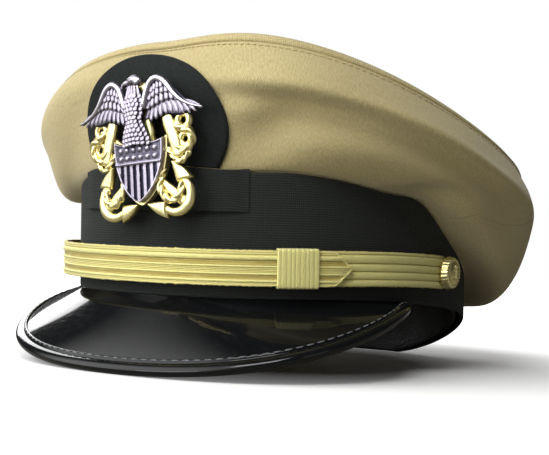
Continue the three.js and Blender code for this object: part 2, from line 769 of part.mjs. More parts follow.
// Flat outlines of one anchor's shank, stock, ring, arms and palms, and of its rope.
function anchorShapes() {
  const axis = ANCHOR_RING.clone().sub(ANCHOR_CROWN).normalize();
  const side = new THREE.Vector2(axis.y, -axis.x);
  const at = ([along, across]) => ANCHOR_CROWN.clone()
    .addScaledVector(axis, along).addScaledVector(side, across);
  const outline = (points) => new THREE.Shape(points.map(at));
  const length = ANCHOR_RING.distanceTo(ANCHOR_CROWN);
  const half = SHANK_HALF_WIDTH;
  const shank = outline([[-0.5, -half], [length, -half], [length, half], [-0.5, half]]);
  const stock = new THREE.Shape(STOCK.map(([x, y]) => new THREE.Vector2(x, y)));
  const onArc = (radius, turn) => [
    ANCHOR_ARM_RADIUS - radius * Math.cos(turn),
    radius * Math.sin(turn),
  ];
  const arm = [];
  for (const [edge, sign] of [[ANCHOR_ARM_HALF_WIDTH, 1], [-ANCHOR_ARM_HALF_WIDTH, -1]]) {
    for (let i = 0; i <= ANCHOR_ARM_STEPS; i += 1) {
      const share = sign * ((2 * i) / ANCHOR_ARM_STEPS - 1);
      arm.push(onArc(ANCHOR_ARM_RADIUS + edge, share * ANCHOR_ARM_SPREAD));
    }
  }
  const palms = [1, -1].map((sign) => outline(PALM.map(([along, across]) => [along, sign * across])));
  const ring = eyelet(at([length + EYE_OFFSET, 0]));
  return [shank, stock, ring, eyelet(new THREE.Vector2(...COIL_CENTRE)), outline(arm), ...palms,
    ropeShape()];
}

// Thick ring about a centre.
function eyelet(centre) {
  const ring = new THREE.Shape();
  ring.absarc(centre.x, centre.y, EYE_OUTER_RADIUS, 0, 2 * Math.PI);
  const eye = new THREE.Path();
  eye.absarc(centre.x, centre.y, EYE_INNER_RADIUS, 0, 2 * Math.PI);
  ring.holes.push(eye);
  return ring;
}

// Flat outline of the rope: its route widened to both sides.
function ropeShape() {
  const route = new THREE.SplineCurve(ROPE_ROUTE.map(([x, y]) => new THREE.Vector2(x, y)));
  const rails = [[], []];
  for (let i = 0; i <= ROPE_STEPS; i += 1) {
    const centre = route.getPoint(i / ROPE_STEPS);
    const along = route.getTangent(i / ROPE_STEPS);
    const side = new THREE.Vector2(-along.y, along.x).multiplyScalar(ROPE_WIDTH / 2);
    rails[0].push(centre.clone().add(side));
    rails[1].unshift(centre.clone().sub(side));
  }
  return new THREE.Shape([...rails[0], ...rails[1]]);
}

// Solid plate of a flat outline, its back 'from' and its front 'to' millimetres off the cloth.
function plate(shape, from, to, mirrored = false) {
  const geometry = new THREE.ExtrudeGeometry(shape, {
    depth: to - from - 2 * PLATE_BEVEL,
    bevelEnabled: true,
    bevelThickness: PLATE_BEVEL,
    bevelSize: PLATE_BEVEL,
    bevelOffset: -PLATE_BEVEL,
    bevelSegments: 1,
    curveSegments: 7,
  });
  geometry.translate(0, 0, from + PLATE_BEVEL);
  if (mirrored) {
    geometry.scale(-1, 1, 1);
  }
  return toSolid(facingOut(welded(geometry)));
}

// Bends the flat badge back, leans it with the crown and stands it up on the front of the cap.
function placeBadge(geometry) {
  const position = geometry.getAttribute('position');
  const front = headPoint(0, CLEARANCE + OVERLAY_THICKNESS, 0).y;
  for (let i = 0; i < position.count; i += 1) {
    const [x, y, z] = [position.getX(i), position.getY(i), position.getZ(i)];
    const back = x ** 2 / (2 * BADGE_BEND);
    position.setXYZ(i, x, -z + back + BADGE_LEAN * y, y);
  }
  geometry.applyMatrix4(new THREE.Matrix4().makeRotationY(BADGE_TILT));
  geometry.translate(BADGE_SHIFT, front, BADGE_HEIGHT);
  return facingOut(geometry);
}

function joined(solids) {
  return solids.reduce((whole, solid) => whole.add(solid));
}

// Gilt layer: two crossed anchors and the thick backing of the shield, in one piece.
function badgeAnchors() {
  const backing = shieldShape(BACKING_MARGIN);
  const parts = [plate(backing, BADGE_STAND, BADGE_STAND + SHIELD_BACKING)];
  for (const mirrored of [false, true]) {
    for (const shape of anchorShapes()) {
      parts.push(plate(shape, BADGE_STAND, BADGE_STAND + ANCHOR_THICKNESS, mirrored));
    }
  }
  return placeBadge(fromSolid(joined(parts)));
}

// Silver layer: the eagle with spread wings on top of its shield, in one piece.
function badgeEagle() {
  const face = BADGE_STAND + SHIELD_BACKING + CLEARANCE;
  const wing = (mirrored) => plate(wingShape(), face, face + WING_THICKNESS, mirrored);
  const parts = [
    plate(shieldShape(0), face, face + SHIELD_THICKNESS),
    plate(eagleShape(), face, face + SHIELD_THICKNESS + EAGLE_RISE),
    wing(false),
    wing(true),
  ];
  return placeBadge(fromSolid(joined(parts)));
}

// Screw post behind the badge, standing on the overlay.
function badgePost() {
  const nearer = BADGE_LEAN * POST_BELOW_MIDDLE;
  const length = BADGE_STAND - 2 * CLEARANCE + nearer;
  const post = new THREE.CylinderGeometry(POST_RADIUS, POST_RADIUS, length, 16);
  post.rotateX(Math.PI / 2);
  post.translate(0, -POST_BELOW_MIDDLE, (BADGE_STAND - nearer) / 2);
  return placeBadge(welded(post));
}

const material = (color, roughness, metalness) => new THREE.MeshStandardMaterial({
  color, roughness, metalness,
});

const cap = new THREE.Group();

function addPiece(name, geometry, finish) {
  const mesh = new THREE.Mesh(geometry, finish);
  mesh.name = name;
  cap.add(mesh);
}

addPiece('cap_band', capBand(), material('#1b1c1f', 0.9, 0));
addPiece('band_overlay', bandOverlay(), material('#1d1f21', 0.9, 0));
addPiece('sweatband', sweatband(), material('#101010', 0.6, 0));
addPiece('crown_front', crownFrontPart(), material('#c9b387', 0.9, 0));
addPiece('crown_back', crownBackPart(), material('#c9b387', 0.9, 0));
addPiece('crown_top', crownTop(), material('#cdb88d', 0.9, 0));
addPiece('badge_patch', badgePatch(), material('#17191a', 0.95, 0));
addPiece('peak', peak(), material('#0c0d0e', 0.12, 0));
addPiece('peak_binding', peakBinding(), material('#101112', 0.25, 0));
addPiece('chin_strap_long', chinStrapLong(), material('#d8b45a', 0.5, 0.5));
addPiece('chin_strap_short', chinStrapShort(), material('#d8b45a', 0.5, 0.5));
addPiece('strap_slide', strapSlide(), material('#dcb95f', 0.5, 0.5));
addPiece('strap_button_left', strapButton(BUTTON_ANGLE), material('#d9ae3f', 0.3, 1));
addPiece('strap_button_right', strapButton(-BUTTON_ANGLE), material('#d9ae3f', 0.3, 1));
addPiece('badge_anchors', badgeAnchors(), material('#d2a53a', 0.28, 1));
addPiece('badge_eagle', badgeEagle(), material('#a9a6ae', 0.35, 1));
addPiece('badge_post', badgePost(), material('#b08d3c', 0.4, 1));

cap.rotation.x = REST_PITCH;
cap.position.set(0, REST_SHIFT, REST_HEIGHT);

const object = new THREE.Group();
object.add(cap);

export default object;
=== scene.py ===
import bmesh
import bpy
import numpy as np
from mathutils import Matrix, Vector


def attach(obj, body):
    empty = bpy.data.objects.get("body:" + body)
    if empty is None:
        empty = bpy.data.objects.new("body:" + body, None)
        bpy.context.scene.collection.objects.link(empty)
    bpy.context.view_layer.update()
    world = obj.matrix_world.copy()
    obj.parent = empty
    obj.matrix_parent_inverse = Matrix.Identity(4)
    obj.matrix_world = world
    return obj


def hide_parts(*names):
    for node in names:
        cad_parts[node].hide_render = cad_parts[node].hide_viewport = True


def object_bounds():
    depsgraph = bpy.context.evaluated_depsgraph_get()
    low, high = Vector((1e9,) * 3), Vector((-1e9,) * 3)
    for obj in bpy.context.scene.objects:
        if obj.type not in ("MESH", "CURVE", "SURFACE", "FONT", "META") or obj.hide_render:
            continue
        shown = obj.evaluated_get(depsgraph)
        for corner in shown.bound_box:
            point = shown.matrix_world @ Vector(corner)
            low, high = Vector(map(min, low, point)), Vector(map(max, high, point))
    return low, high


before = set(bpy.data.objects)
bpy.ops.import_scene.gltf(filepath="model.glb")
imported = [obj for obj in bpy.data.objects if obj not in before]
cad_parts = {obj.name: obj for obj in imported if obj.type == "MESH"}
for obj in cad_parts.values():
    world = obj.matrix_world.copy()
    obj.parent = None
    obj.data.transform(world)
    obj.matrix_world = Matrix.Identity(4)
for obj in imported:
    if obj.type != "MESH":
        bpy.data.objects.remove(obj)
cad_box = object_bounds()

# A peaked dress cap: khaki twill crown, black braid band, patent peak, gold lace chin strap,
# and a two-metal badge on a felt patch. Shapes are drawn in millimetres in the band's own
# frame (front towards -Y, wearer's left +X, z = 0 at the middle of the chin strap), then
# settled into the position in which the cap rests.
MM = 0.001
RNG = np.random.default_rng(7)
UPWARD = np.array([0.0, 0.0, 1.0])
MERGE_DISTANCE = 2e-6
SPECK = 1e-7
FLOOR_RADIUS = 4.0

BAND_HALF_LENGTH = 104.3
BAND_HALF_WIDTH = 87.8
OVAL_SQUARENESS = 0.0245
CLEARANCE = 0.3
REST_PITCH = np.radians(2.67)
REST_HEIGHT = 50.64
REST_SHIFT = -2.02

BAND_THICKNESS = 2.0
SIDE_FULLNESS = 5.0
FRONT_DRAW = 1.6
SWEATBAND_GAP = 1.4
SWEATBAND_THICKNESS = 1.5
SWEATBAND_HEIGHT = 26.0
OVERLAY_THICKNESS = 1.3
OVERLAY_HALF_ANGLE = np.radians(30)
OVERLAY_BOTTOM = 23.0
OVERLAY_RISE = 1.5
OVERLAY_TAPER = 12.0
PATCH_THICKNESS = 1.6
PATCH_CENTRE_HEIGHT = 57.0
PATCH_CENTRE_SHIFT = 1.0
# Radii of the patch every 30 degrees round from straight down, by the wearer's right first.
PATCH_RADII = [28.0, 31.0, 36.0, 37.0, 35.5, 35.5, 33.5, 34.0, 37.5, 38.0, 35.0, 31.0, 28.0]
PATCH_STAND = 0.7
PATCH_FLAT = 0.965
PATCH_FOOT_ROOM = 6.0

CROWN_THICKNESS = 1.2
CROWN_HEM_DEPTH = 6.0
SIDE_SEAM = np.radians([88, 88, 89, 90, 112, 115, 116])
SEAM_GAP = 0.0002
TOP_SINK = 1.5
TOP_RIPPLE = 0.5
TOPSTITCH_COUNT = 236
TOPSTITCH_ROW = 3.86
TOPSTITCH_FILL = 0.36
TOPSTITCH_RADIUS = 0.28
THREAD_FLATNESS = 0.6

PEAK_HALF_ANGLE = np.radians(78.3)
PEAK_REACH = 40.0
PEAK_TAPER = 3.4
PEAK_CORNER = 1.16
PEAK_DROP_FRONT = np.radians(46.5)
PEAK_DROP_SIDE = np.radians(8)
PEAK_BULGE = 2.4
PEAK_THICKNESS = 1.8
PEAK_END = 0.985
BINDING_END = 0.972
STITCHES_END = 0.955
STITCH_PLACE = (-4.95, 0.86)
STITCH_PITCH = 4.7
STITCH_HALF_LENGTH = 1.6
STITCH_RADIUS = 0.34

STRAP_WIDTH = 15.2
STRAP_THICKNESS = 1.8
STRAP_TIP_ANGLE = np.radians(55.2)
STRAP_TIP_LENGTH = 7.0
STRAP_UNDERLAP_ANGLE = np.radians(30)
CORD_DEPTH = 0.9
FULL_CORD = 0.75
BORDER_CORD = (0.55, 0.6, 0.75)
CUT_MARGIN = 0.3
BUTTON_ANGLE = np.radians(91)
BUTTON_RADIUS = 7.5
SHANK_RADIUS = 1.6
ROPE_FROM = 5.6
ROPE_MIDDLE = 6.5
SLIDE_FROM = np.radians(36.8)
SLIDE_TO = np.radians(46.6)
SLIDE_CORDS = 9
SLIDE_CORD_RISE = 0.16
SLIDE_WALL = 0.45
SLIDE_SQUARENESS = 0.16

BADGE_SHIFT = 2.3
BADGE_HEIGHT = 50.1
BADGE_TILT = np.radians(-5.8)
BADGE_LEAN = 0.03
BADGE_BEND = 240.0
BADGE_STAND = 3.8
BADGE_SHARP = 60
SHIELD_BACKING = 3.2
SHIELD_END = 0.997
SHIELD_ROUNDING = 0.35
CHIEF_FOOT = -7.0
STRIPE_PITCH = 3.55
BOSS_PITCH = 3.7
BOSS_RADIUS = 1.3
SILVER_LEVEL = BADGE_STAND + SHIELD_BACKING + CLEARANCE

# Sections every 30 degrees from the middle of the front round to the middle of the back.
SECTION_STEP = np.pi / 6
SECTIONS = {
    "rim": [-13.3, -13.6, -14.6, -19.5, -29.0, -46.5, -57.0],
    "top": [40.5, 39.5, 30.5, 15.5, -8.5, -22.5, -28.5],
    "lean": [0.0, 1.4, 4.6, 1.5, 0.5, 0.0, 0.0],
    "lip_out": [-1.6, -1.0, 0.8, 0.8, 0.8, 0.8, 0.8],
    "belly_out": [-0.5, 4.0, 13.5, 19.0, 18.0, 17.0, 14.0],
    "belly_up": [52.0, 51.0, 39.0, 22.0, -14.0, -28.0, -32.0],
    "wide_out": [0.5, 8.5, 21.5, 28.5, 32.5, 32.0, 30.0],
    "wide_up": [66.0, 64.0, 51.0, 33.0, 15.0, 0.0, -6.0],
    "brim_out": [0.5, 12.0, 23.5, 31.0, 33.0, 31.5, 29.0],
    "brim_up": [80.0, 77.5, 62.0, 42.0, 25.5, 11.0, 7.0],
    "seam_out": [-4.5, 4.0, 13.5, 21.5, 26.0, 24.5, 23.0],
    "seam_up": [93.7, 91.2, 77.5, 58.5, 40.5, 28.0, 24.0],
    "seam_lean": [0.0, 2.8, 0.3, 0.0, 0.0, 0.0, 0.0],
    "strap_out": [7.0, 7.5, 8.3, 5.6, 4.2, 4.2, 4.2],
    "strap_up": [0.0, -0.1, -0.6, -3.6, -9.0, -12.0, -12.0],
}


def spline_weights(knots, t, flat_ends):
    """Weights of each knot value at t: a cubic spline whose second derivatives solve the usual
    tridiagonal system, with level ends or with ends free of bending."""
    knots = np.asarray(knots, float)
    count = len(knots)
    h = np.diff(knots)
    left = np.zeros((count, count))
    right = np.zeros((count, count))
    k = np.arange(1, count - 1)
    left[k, k - 1] = h[:-1]
    left[k, k] = 2 * (h[:-1] + h[1:])
    left[k, k + 1] = h[1:]
    right[k, k - 1] = 6 / h[:-1]
    right[k, k] = -6 / h[:-1] - 6 / h[1:]
    right[k, k + 1] = 6 / h[1:]
    left[0, 0] = left[-1, -1] = 1
    if flat_ends:
        left[0, :2] = 2 * h[0], h[0]
        right[0, :2] = -6 / h[0], 6 / h[0]
        left[-1, -2:] = h[-1], 2 * h[-1]
        right[-1, -2:] = 6 / h[-1], -6 / h[-1]
    bend = np.linalg.solve(left, right)
    t = np.clip(t, knots[0], knots[-1])
    i = np.clip(np.searchsorted(knots, t, side="right") - 1, 0, count - 2)
    width = h[i][..., None]
    b = ((t - knots[i]) / h[i])[..., None]
    a = 1 - b
    eye = np.eye(count)
    curve = (a**3 - a) * bend[i] + (b**3 - b) * bend[i + 1]
    return a * eye[i] + b * eye[i + 1] + curve * width**2 / 6


def curve(points, count):
    """Smooth path through points, evenly spaced in its parameter."""
    t = np.linspace(0, len(points) - 1, count)
    return spline_weights(np.arange(len(points)), t, False) @ np.asarray(points, float)


def around(column, angle):
    """Smooth curve through a table given every 30 degrees, mirrored at the front and back."""
    table = np.asarray(SECTIONS[column])
    return spline_weights(np.arange(len(table)), np.abs(angle) / SECTION_STEP, True) @ table


def smooth(t):
    """Rises from 0 to 1 as t does, with level ends: three t squared less two t cubed."""
    t = np.clip(t, 0, 1)
    return t * t * (3 - 2 * t)


def stack(x, y, z):
    """Points from three arrays of coordinates that are spread to the same shape."""
    return np.stack(np.broadcast_arrays(x, y, z), -1)


def unit(v):
    """Vectors scaled to length one."""
    return v / np.maximum(np.linalg.norm(v, axis=-1, keepdims=True), 1e-9)


def outward(angle):
    """Outward direction of the head oval at an angle from the front."""
    return unit(stack(np.sin(angle) * BAND_HALF_LENGTH, -np.cos(angle) * BAND_HALF_WIDTH, 0.0))


def head_point(angle, out, up):
    """A squared-off oval, pushed outward along its normal by out and raised to up."""
    swell = 1 + OVAL_SQUARENESS * np.sin(2 * angle) ** 2
    n = outward(angle)
    return stack(
        BAND_HALF_WIDTH * np.sin(angle) * swell + out * n[..., 0],
        -BAND_HALF_LENGTH * np.cos(angle) * swell + out * n[..., 1],
        up,
    )


def rim_height(angle):
    """Lower edge of the band, or the floor where that is higher."""
    y = head_point(angle, 0.0, 0.0)[..., 1]
    floor = -(y * np.sin(REST_PITCH) + REST_HEIGHT) / np.cos(REST_PITCH)
    return np.maximum(around("rim", angle), floor)


def lean(angle):
    """How much higher the crown rides on the wearer's left."""
    return np.sign(angle) * around("lean", angle)


def ridge(distance, width):
    """Bell curve of a distance."""
    return np.exp(-(distance / width) ** 2)


def arc(share):
    """Quarter-circle rise: the square root of a share that is held between 0 and 1."""
    return np.sqrt(np.clip(share, 0, 1))


def spread(values, count):
    """A short table of values read at evenly spaced places, straight between its entries."""
    return np.interp(np.linspace(0, 1, count), np.linspace(0, 1, len(values)), values)


def top_height(angle):
    """Upper edge of the band, fuller at the sides and a little drawn down at the front left."""
    degrees = np.degrees(angle)
    full = SIDE_FULLNESS * ridge(np.abs(degrees) - 81, 10)
    drawn = FRONT_DRAW * ridge(degrees - 24, 10)
    return around("top", angle) + lean(angle) + full - drawn


def seam_height(angle):
    """Height of the top seam, which leans a little more than the rest of the crown."""
    return around("seam_up", angle) + lean(angle) + np.sign(angle) * around("seam_lean", angle)


def settle(points):
    """From the band's frame in mm to the row's frame in metres: pitched about X, then lifted."""
    c, s = np.cos(REST_PITCH), np.sin(REST_PITCH)
    x, y, z = points[..., 0], points[..., 1], points[..., 2]
    return MM * stack(x, y * c - z * s + REST_SHIFT, y * s + z * c + REST_HEIGHT)


def normals(points):
    """Normals of a grid of points: the cross product of its steps along and across."""
    return unit(np.cross(np.gradient(points, axis=-3), np.gradient(points, axis=-2)))


def lengths(points, axis):
    """Distance travelled along a grid's axis, from its first point."""
    step = np.linalg.norm(np.diff(points, axis=axis), axis=-1)
    none = np.zeros_like(np.take(step, [0], axis=axis))
    return np.cumsum(np.concatenate([none, step], axis=axis), axis=axis)


def along_path(points):
    """Distance travelled along one path."""
    return lengths(points[:, None], 0)[:, 0]


def at_distance(distance, run, points):
    """Places on a path at given distances along it."""
    return np.stack([np.interp(distance, run, column) for column in points.T], -1)


def resample(points, count):
    """Points spaced evenly along a smooth path."""
    fine = curve(points, 200)
    run = along_path(fine)
    return at_distance(np.linspace(0, run[-1], count), run, fine)


def fold_back(outer, inner):
    """Closed section from two faces: along the outer one, back along the inner one."""
    return np.concatenate([outer, inner[:, ::-1], outer[:, :1]], axis=1)


def pinch(loops, to_line=True):
    """Closes both ends of a run of closed sections: each end section closes up to the line
    between its two faces, or to its middle point."""
    def end(ring):
        core = ring[:-1]
        flat = (core + core[::-1]) / 2 if to_line else np.broadcast_to(core.mean(0), core.shape)
        return np.concatenate([flat, flat[:1]])[None]
    return np.concatenate([end(loops[0]), loops, end(loops[-1])])


def capsule(side_steps, end_steps):
    """Section of a strip with rounded edges, as (side, share, roll): side runs from 1 on the
    outer face to -1 on the inner, share from 0 at the lower edge to 1 at the upper, and roll
    is the height over that edge in half thicknesses."""
    up = np.linspace(0, 1, side_steps)
    turn = np.linspace(0, np.pi, end_steps + 2)[1:-1]
    one, none = np.ones_like(up), np.zeros_like(turn)
    side = np.concatenate([one, np.cos(turn), -one, -np.cos(turn), [1]])
    share = np.concatenate([up, none + 1, up[::-1], none, [0]])
    roll = np.concatenate([1 - 2 * up, np.sin(turn) - 1, 1 - 2 * up[::-1], 1 - np.sin(turn), [1]])
    return side, share, roll


def strip(angles, out, thickness, low, high, side_steps=24):
    """Upright strip round the head with rounded edges: at each angle a capsule section between
    two heights, with its outer face 'out' from the band."""
    side, share, roll = capsule(side_steps, 7)
    half = np.broadcast_to(thickness, angles.shape)[:, None] / 2
    out = np.broadcast_to(out, angles.shape)[:, None]
    a = angles[:, None]
    lows, highs = low(angles)[:, None], high(angles)[:, None]
    offset = out - half + side[None] * half
    return head_point(a, offset, lows + share * (highs - lows) + roll * half)


def cloth_uv(loops):
    """Cloth lengths along and across a run of sections, in metres, as texture coordinates."""
    along = lengths(loops, 0).mean(1, keepdims=True) * np.ones(loops.shape[:2])
    across = lengths(loops, 1)
    return MM * np.stack([along, across], -1)


def closed_plate(front, back, value, behind=None):
    """Closed shell from a front and a back grid, and a value at each of its points: the
    front's on both faces, unless the back has its own."""
    value = fold_back(value, value if behind is None else behind)
    return pinch(fold_back(front, back)), np.concatenate([value[:1], value, value[-1:]])


def mesh_object(name, shells, finish, sharp=50):
    """One closed mesh from shells of (points, uv, tint). Each shell is a grid, or a stack of
    grids, in the band's frame; its coincident points are merged and its faces turned out. It
    takes the place of the CAD node of its name, where there is one."""
    co, quads, uvs, tints = [], [], [], []
    base = 0
    for points, uv, tint in shells:
        grid = points.reshape((-1,) + points.shape[-3:])
        shape = grid.shape[:3]
        index = base + np.arange(np.prod(shape)).reshape(shape)
        quad = np.stack([index[:, :-1, :-1], index[:, 1:, :-1],
                         index[:, 1:, 1:], index[:, :-1, 1:]], -1).reshape(-1, 4)
        uv = np.broadcast_to(0.0 if uv is None else uv, shape + (2,))
        co.append(settle(grid).reshape(-1, 3))
        quads.append(quad)
        uvs.append(uv.reshape(-1, 2)[(quad - base).ravel()])
        tints.append(np.broadcast_to(tint, shape).reshape(-1))
        base += index.size
    co, quads = np.concatenate(co), np.concatenate(quads)
    mesh = bpy.data.meshes.new(name)
    mesh.vertices.add(len(co))
    mesh.vertices.foreach_set("co", co.ravel())
    mesh.loops.add(quads.size)
    mesh.loops.foreach_set("vertex_index", quads.ravel())
    mesh.polygons.add(len(quads))
    mesh.polygons.foreach_set("loop_start", np.arange(0, quads.size, 4))
    mesh.update(calc_edges=True)
    mesh.uv_layers.new(name="cloth").data.foreach_set("uv", np.concatenate(uvs).ravel())
    mesh.attributes.new("tint", "FLOAT", "POINT").data.foreach_set("value", np.concatenate(tints))
    work = bmesh.new()
    work.from_mesh(mesh)
    bmesh.ops.remove_doubles(work, verts=work.verts, dist=MERGE_DISTANCE)
    bmesh.ops.dissolve_degenerate(work, edges=work.edges, dist=SPECK)
    bmesh.ops.recalc_face_normals(work, faces=work.faces)
    work.to_mesh(mesh)
    work.free()
    mesh.polygons.foreach_set("use_smooth", np.ones(len(mesh.polygons), bool))
    mesh.set_sharp_from_angle(angle=np.radians(sharp))
    mesh.materials.append(finish)
    piece = bpy.data.objects.new(name, mesh)
    bpy.context.scene.collection.objects.link(piece)
    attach(piece, "root")
    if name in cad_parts:
        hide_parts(name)


# ---------------------------------------------------------------- finishes

class Finish:
    """A node material under construction. Plain numbers go on the shader's own sockets."""

    def __init__(self, name, **values):
        self.material = bpy.data.materials.new(name)
        self.material.use_nodes = True
        self.tree = self.material.node_tree
        self.shader = self.tree.nodes["Principled BSDF"]
        for key, value in values.items():
            self.shader.inputs[key.replace("_", " ")].default_value = value
        self.object = self.add("TexCoord").outputs["Object"]
        self.uv = self.add("UVMap", uv_map="cloth").outputs["UV"]
        self.tint = self.add("Attribute", attribute_name="tint").outputs["Fac"]

    def add(self, kind, inputs=None, **settings):
        """A new node with its settings and its inputs, plain or linked."""
        made = self.tree.nodes.new("ShaderNode" + kind)
        for key, value in settings.items():
            setattr(made, key, value)
        for key, value in (inputs or {}).items():
            self.feed(made.inputs[key], value)
        return made

    def feed(self, socket, value):
        """Links an output to a socket, or sets a plain value on it."""
        if isinstance(value, bpy.types.NodeSocket):
            self.tree.links.new(value, socket)
        else:
            socket.default_value = value

    def math(self, operation, *values):
        return self.add("Math", dict(enumerate(values)), operation=operation).outputs[0]

    def split(self, vector):
        return self.add("SeparateXYZ", {0: vector}).outputs

    def stretch(self, vector, scale):
        return self.add("Mapping", {"Vector": vector, "Scale": scale}).outputs[0]

    def noise(self, vector, size, detail=2.0, roughness=0.5):
        """Noise whose blotches are about 'size' metres wide."""
        inputs = {"Vector": vector, "Scale": 1 / size, "Detail": detail, "Roughness": roughness}
        return self.add("TexNoise", inputs).outputs["Fac"]

    def wave(self, coordinate, pitch):
        """A sine of the coordinate with one crest every 'pitch' metres, from 0 to 1."""
        turn = self.math("MULTIPLY_ADD", coordinate, 2 * np.pi / pitch, 0.0)
        return self.math("MULTIPLY_ADD", self.math("SINE", turn), 0.5, 0.5)

    def level(self, value, low, high, to_low=0.0, to_high=1.0):
        """The value spread from one range over another, held at its ends."""
        inputs = {"Value": value, "From Min": low, "From Max": high,
                  "To Min": to_low, "To Max": to_high}
        return self.add("MapRange", inputs).outputs[0]

    def blend(self, factor, first, second):
        return self.add("Mix", {0: factor, 6: first, 7: second}, data_type="RGBA").outputs[2]

    def done(self, colour, roughness, *bumps):
        """Colour, roughness, and bumps of (height, metres) laid over each other."""
        self.feed(self.shader.inputs["Base Color"], colour)
        self.feed(self.shader.inputs["Roughness"], roughness)
        under = {}
        for height, depth in bumps:
            inputs = {"Height": height, "Distance": depth, "Strength": 1.0, **under}
            under = {"Normal": self.add("Bump", inputs).outputs[0]}
        for key, normal in under.items():
            self.feed(self.shader.inputs[key], normal)
        return self.material


def rgb(red, green, blue):
    """Opaque colour."""
    return (red, green, blue, 1.0)


def khaki_twill():
    """Twill: fine diagonal ribs from the sum of the two cloth lengths, crossed by yarns, with
    slubs stretched along the yarn and faint shading from handling."""
    f = Finish("khaki_twill", Sheen_Weight=0.3, Sheen_Roughness=0.5)
    u, v, _ = f.split(f.uv)
    diagonal = f.wave(f.math("MULTIPLY_ADD", v, 0.55, u), 0.00092)
    yarns = f.wave(u, 0.0006)
    slubs = f.noise(f.stretch(f.uv, (1.0, 0.4, 1.0)), 0.0008, 3.0)
    fuzz = f.noise(f.object, 0.0011, 3.0, 0.6)
    cloud = f.noise(f.object, 0.03, 3.0)
    weave = f.math("ADD", f.math("MULTIPLY", diagonal, 0.3), f.math("MULTIPLY", yarns, 0.25))
    weave = f.math("ADD", weave, f.math("MULTIPLY", slubs, 0.95))
    base = f.blend(f.level(weave, 0.4, 1.1), rgb(0.40, 0.325, 0.135), rgb(0.69, 0.58, 0.30))
    base = f.blend(f.level(cloud, 0.35, 0.7, 0.0, 0.35), base, rgb(0.49, 0.40, 0.17))
    base = f.blend(f.level(fuzz, 0.5, 0.8, 0.0, 0.25), base, rgb(0.70, 0.58, 0.32))
    return f.done(base, f.level(fuzz, 0.3, 0.7, 0.78, 0.92),
                  (cloud, 0.0006), (weave, 0.00022), (fuzz, 0.0002))


def black_braid():
    """Ribbed braid: fine ribs round the head crossed by upright yarns, with pale flecks."""
    f = Finish("black_braid", Specular_IOR_Level=0.25, Sheen_Weight=0.05)
    u, v, _ = f.split(f.uv)
    ribs = f.wave(v, 0.00105)
    yarns = f.wave(u, 0.0009)
    fuzz = f.noise(f.object, 0.0009, 3.0, 0.65)
    flecks = f.noise(f.stretch(f.uv, (0.6, 1.0, 1.0)), 0.0006, 2.0, 0.7)
    weave = f.math("ADD", f.math("MULTIPLY", ribs, 0.5), f.math("MULTIPLY", yarns, 0.4))
    weave = f.math("MULTIPLY_ADD", fuzz, 0.6, weave)
    base = f.blend(f.level(weave, 0.3, 1.2), rgb(0.007, 0.0085, 0.0075), rgb(0.026, 0.031, 0.028))
    base = f.blend(f.level(flecks, 0.6, 0.8, 0.0, 0.5), base, rgb(0.055, 0.06, 0.062))
    return f.done(base, f.level(fuzz, 0.3, 0.7, 0.7, 0.9), (weave, 0.00022), (flecks, 0.0001))


def black_felt():
    """Felt: short matted fibres in every direction over soft dark blotches."""
    f = Finish("black_felt", Specular_IOR_Level=0.2, Sheen_Weight=0.06)
    fibres = f.noise(f.object, 0.0007, 4.0, 0.75)
    blotch = f.noise(f.object, 0.006, 2.0)
    base = f.blend(f.level(fibres, 0.35, 0.7), rgb(0.007, 0.009, 0.0085), rgb(0.026, 0.032, 0.030))
    base = f.blend(f.level(blotch, 0.4, 0.7, 0.0, 0.3), base, rgb(0.012, 0.014, 0.014))
    return f.done(base, f.level(fibres, 0.3, 0.7, 0.88, 1.0), (blotch, 0.0003), (fibres, 0.0003))


def patent_leather(name, grain):
    """Patent leather: a nearly smooth black coat with slow ripples, dust and faint scuffs."""
    f = Finish(name, Specular_IOR_Level=0.12, Coat_Weight=0.5, Coat_Roughness=0.035, Coat_IOR=1.45)
    ripple = f.noise(f.object, 0.03, 2.0)
    fine = f.noise(f.object, 0.0012, 2.0)
    scuff = f.noise(f.stretch(f.object, (1.0, 3.0, 1.0)), 0.004, 5.0, 0.7)
    base = f.blend(f.level(scuff, 0.55, 0.8), rgb(0.0045, 0.005, 0.0055), rgb(0.012, 0.0125, 0.013))
    return f.done(base, f.level(scuff, 0.45, 0.8, 0.1, 0.24), (ripple, 0.00035), (fine, grain))


def grained_leather():
    """Leather: pebbled cells with fine wrinkles between them."""
    f = Finish("sweatband_leather", Specular_IOR_Level=0.4)
    cells = f.add("TexVoronoi", {"Vector": f.object, "Scale": 700.0}).outputs["Distance"]
    wear = f.noise(f.object, 0.012, 4.0)
    base = f.blend(f.level(wear, 0.4, 0.7), rgb(0.009, 0.009, 0.01), rgb(0.022, 0.02, 0.019))
    return f.done(base, f.level(wear, 0.3, 0.7, 0.4, 0.6), (cells, 0.00015), (wear, 0.0003))


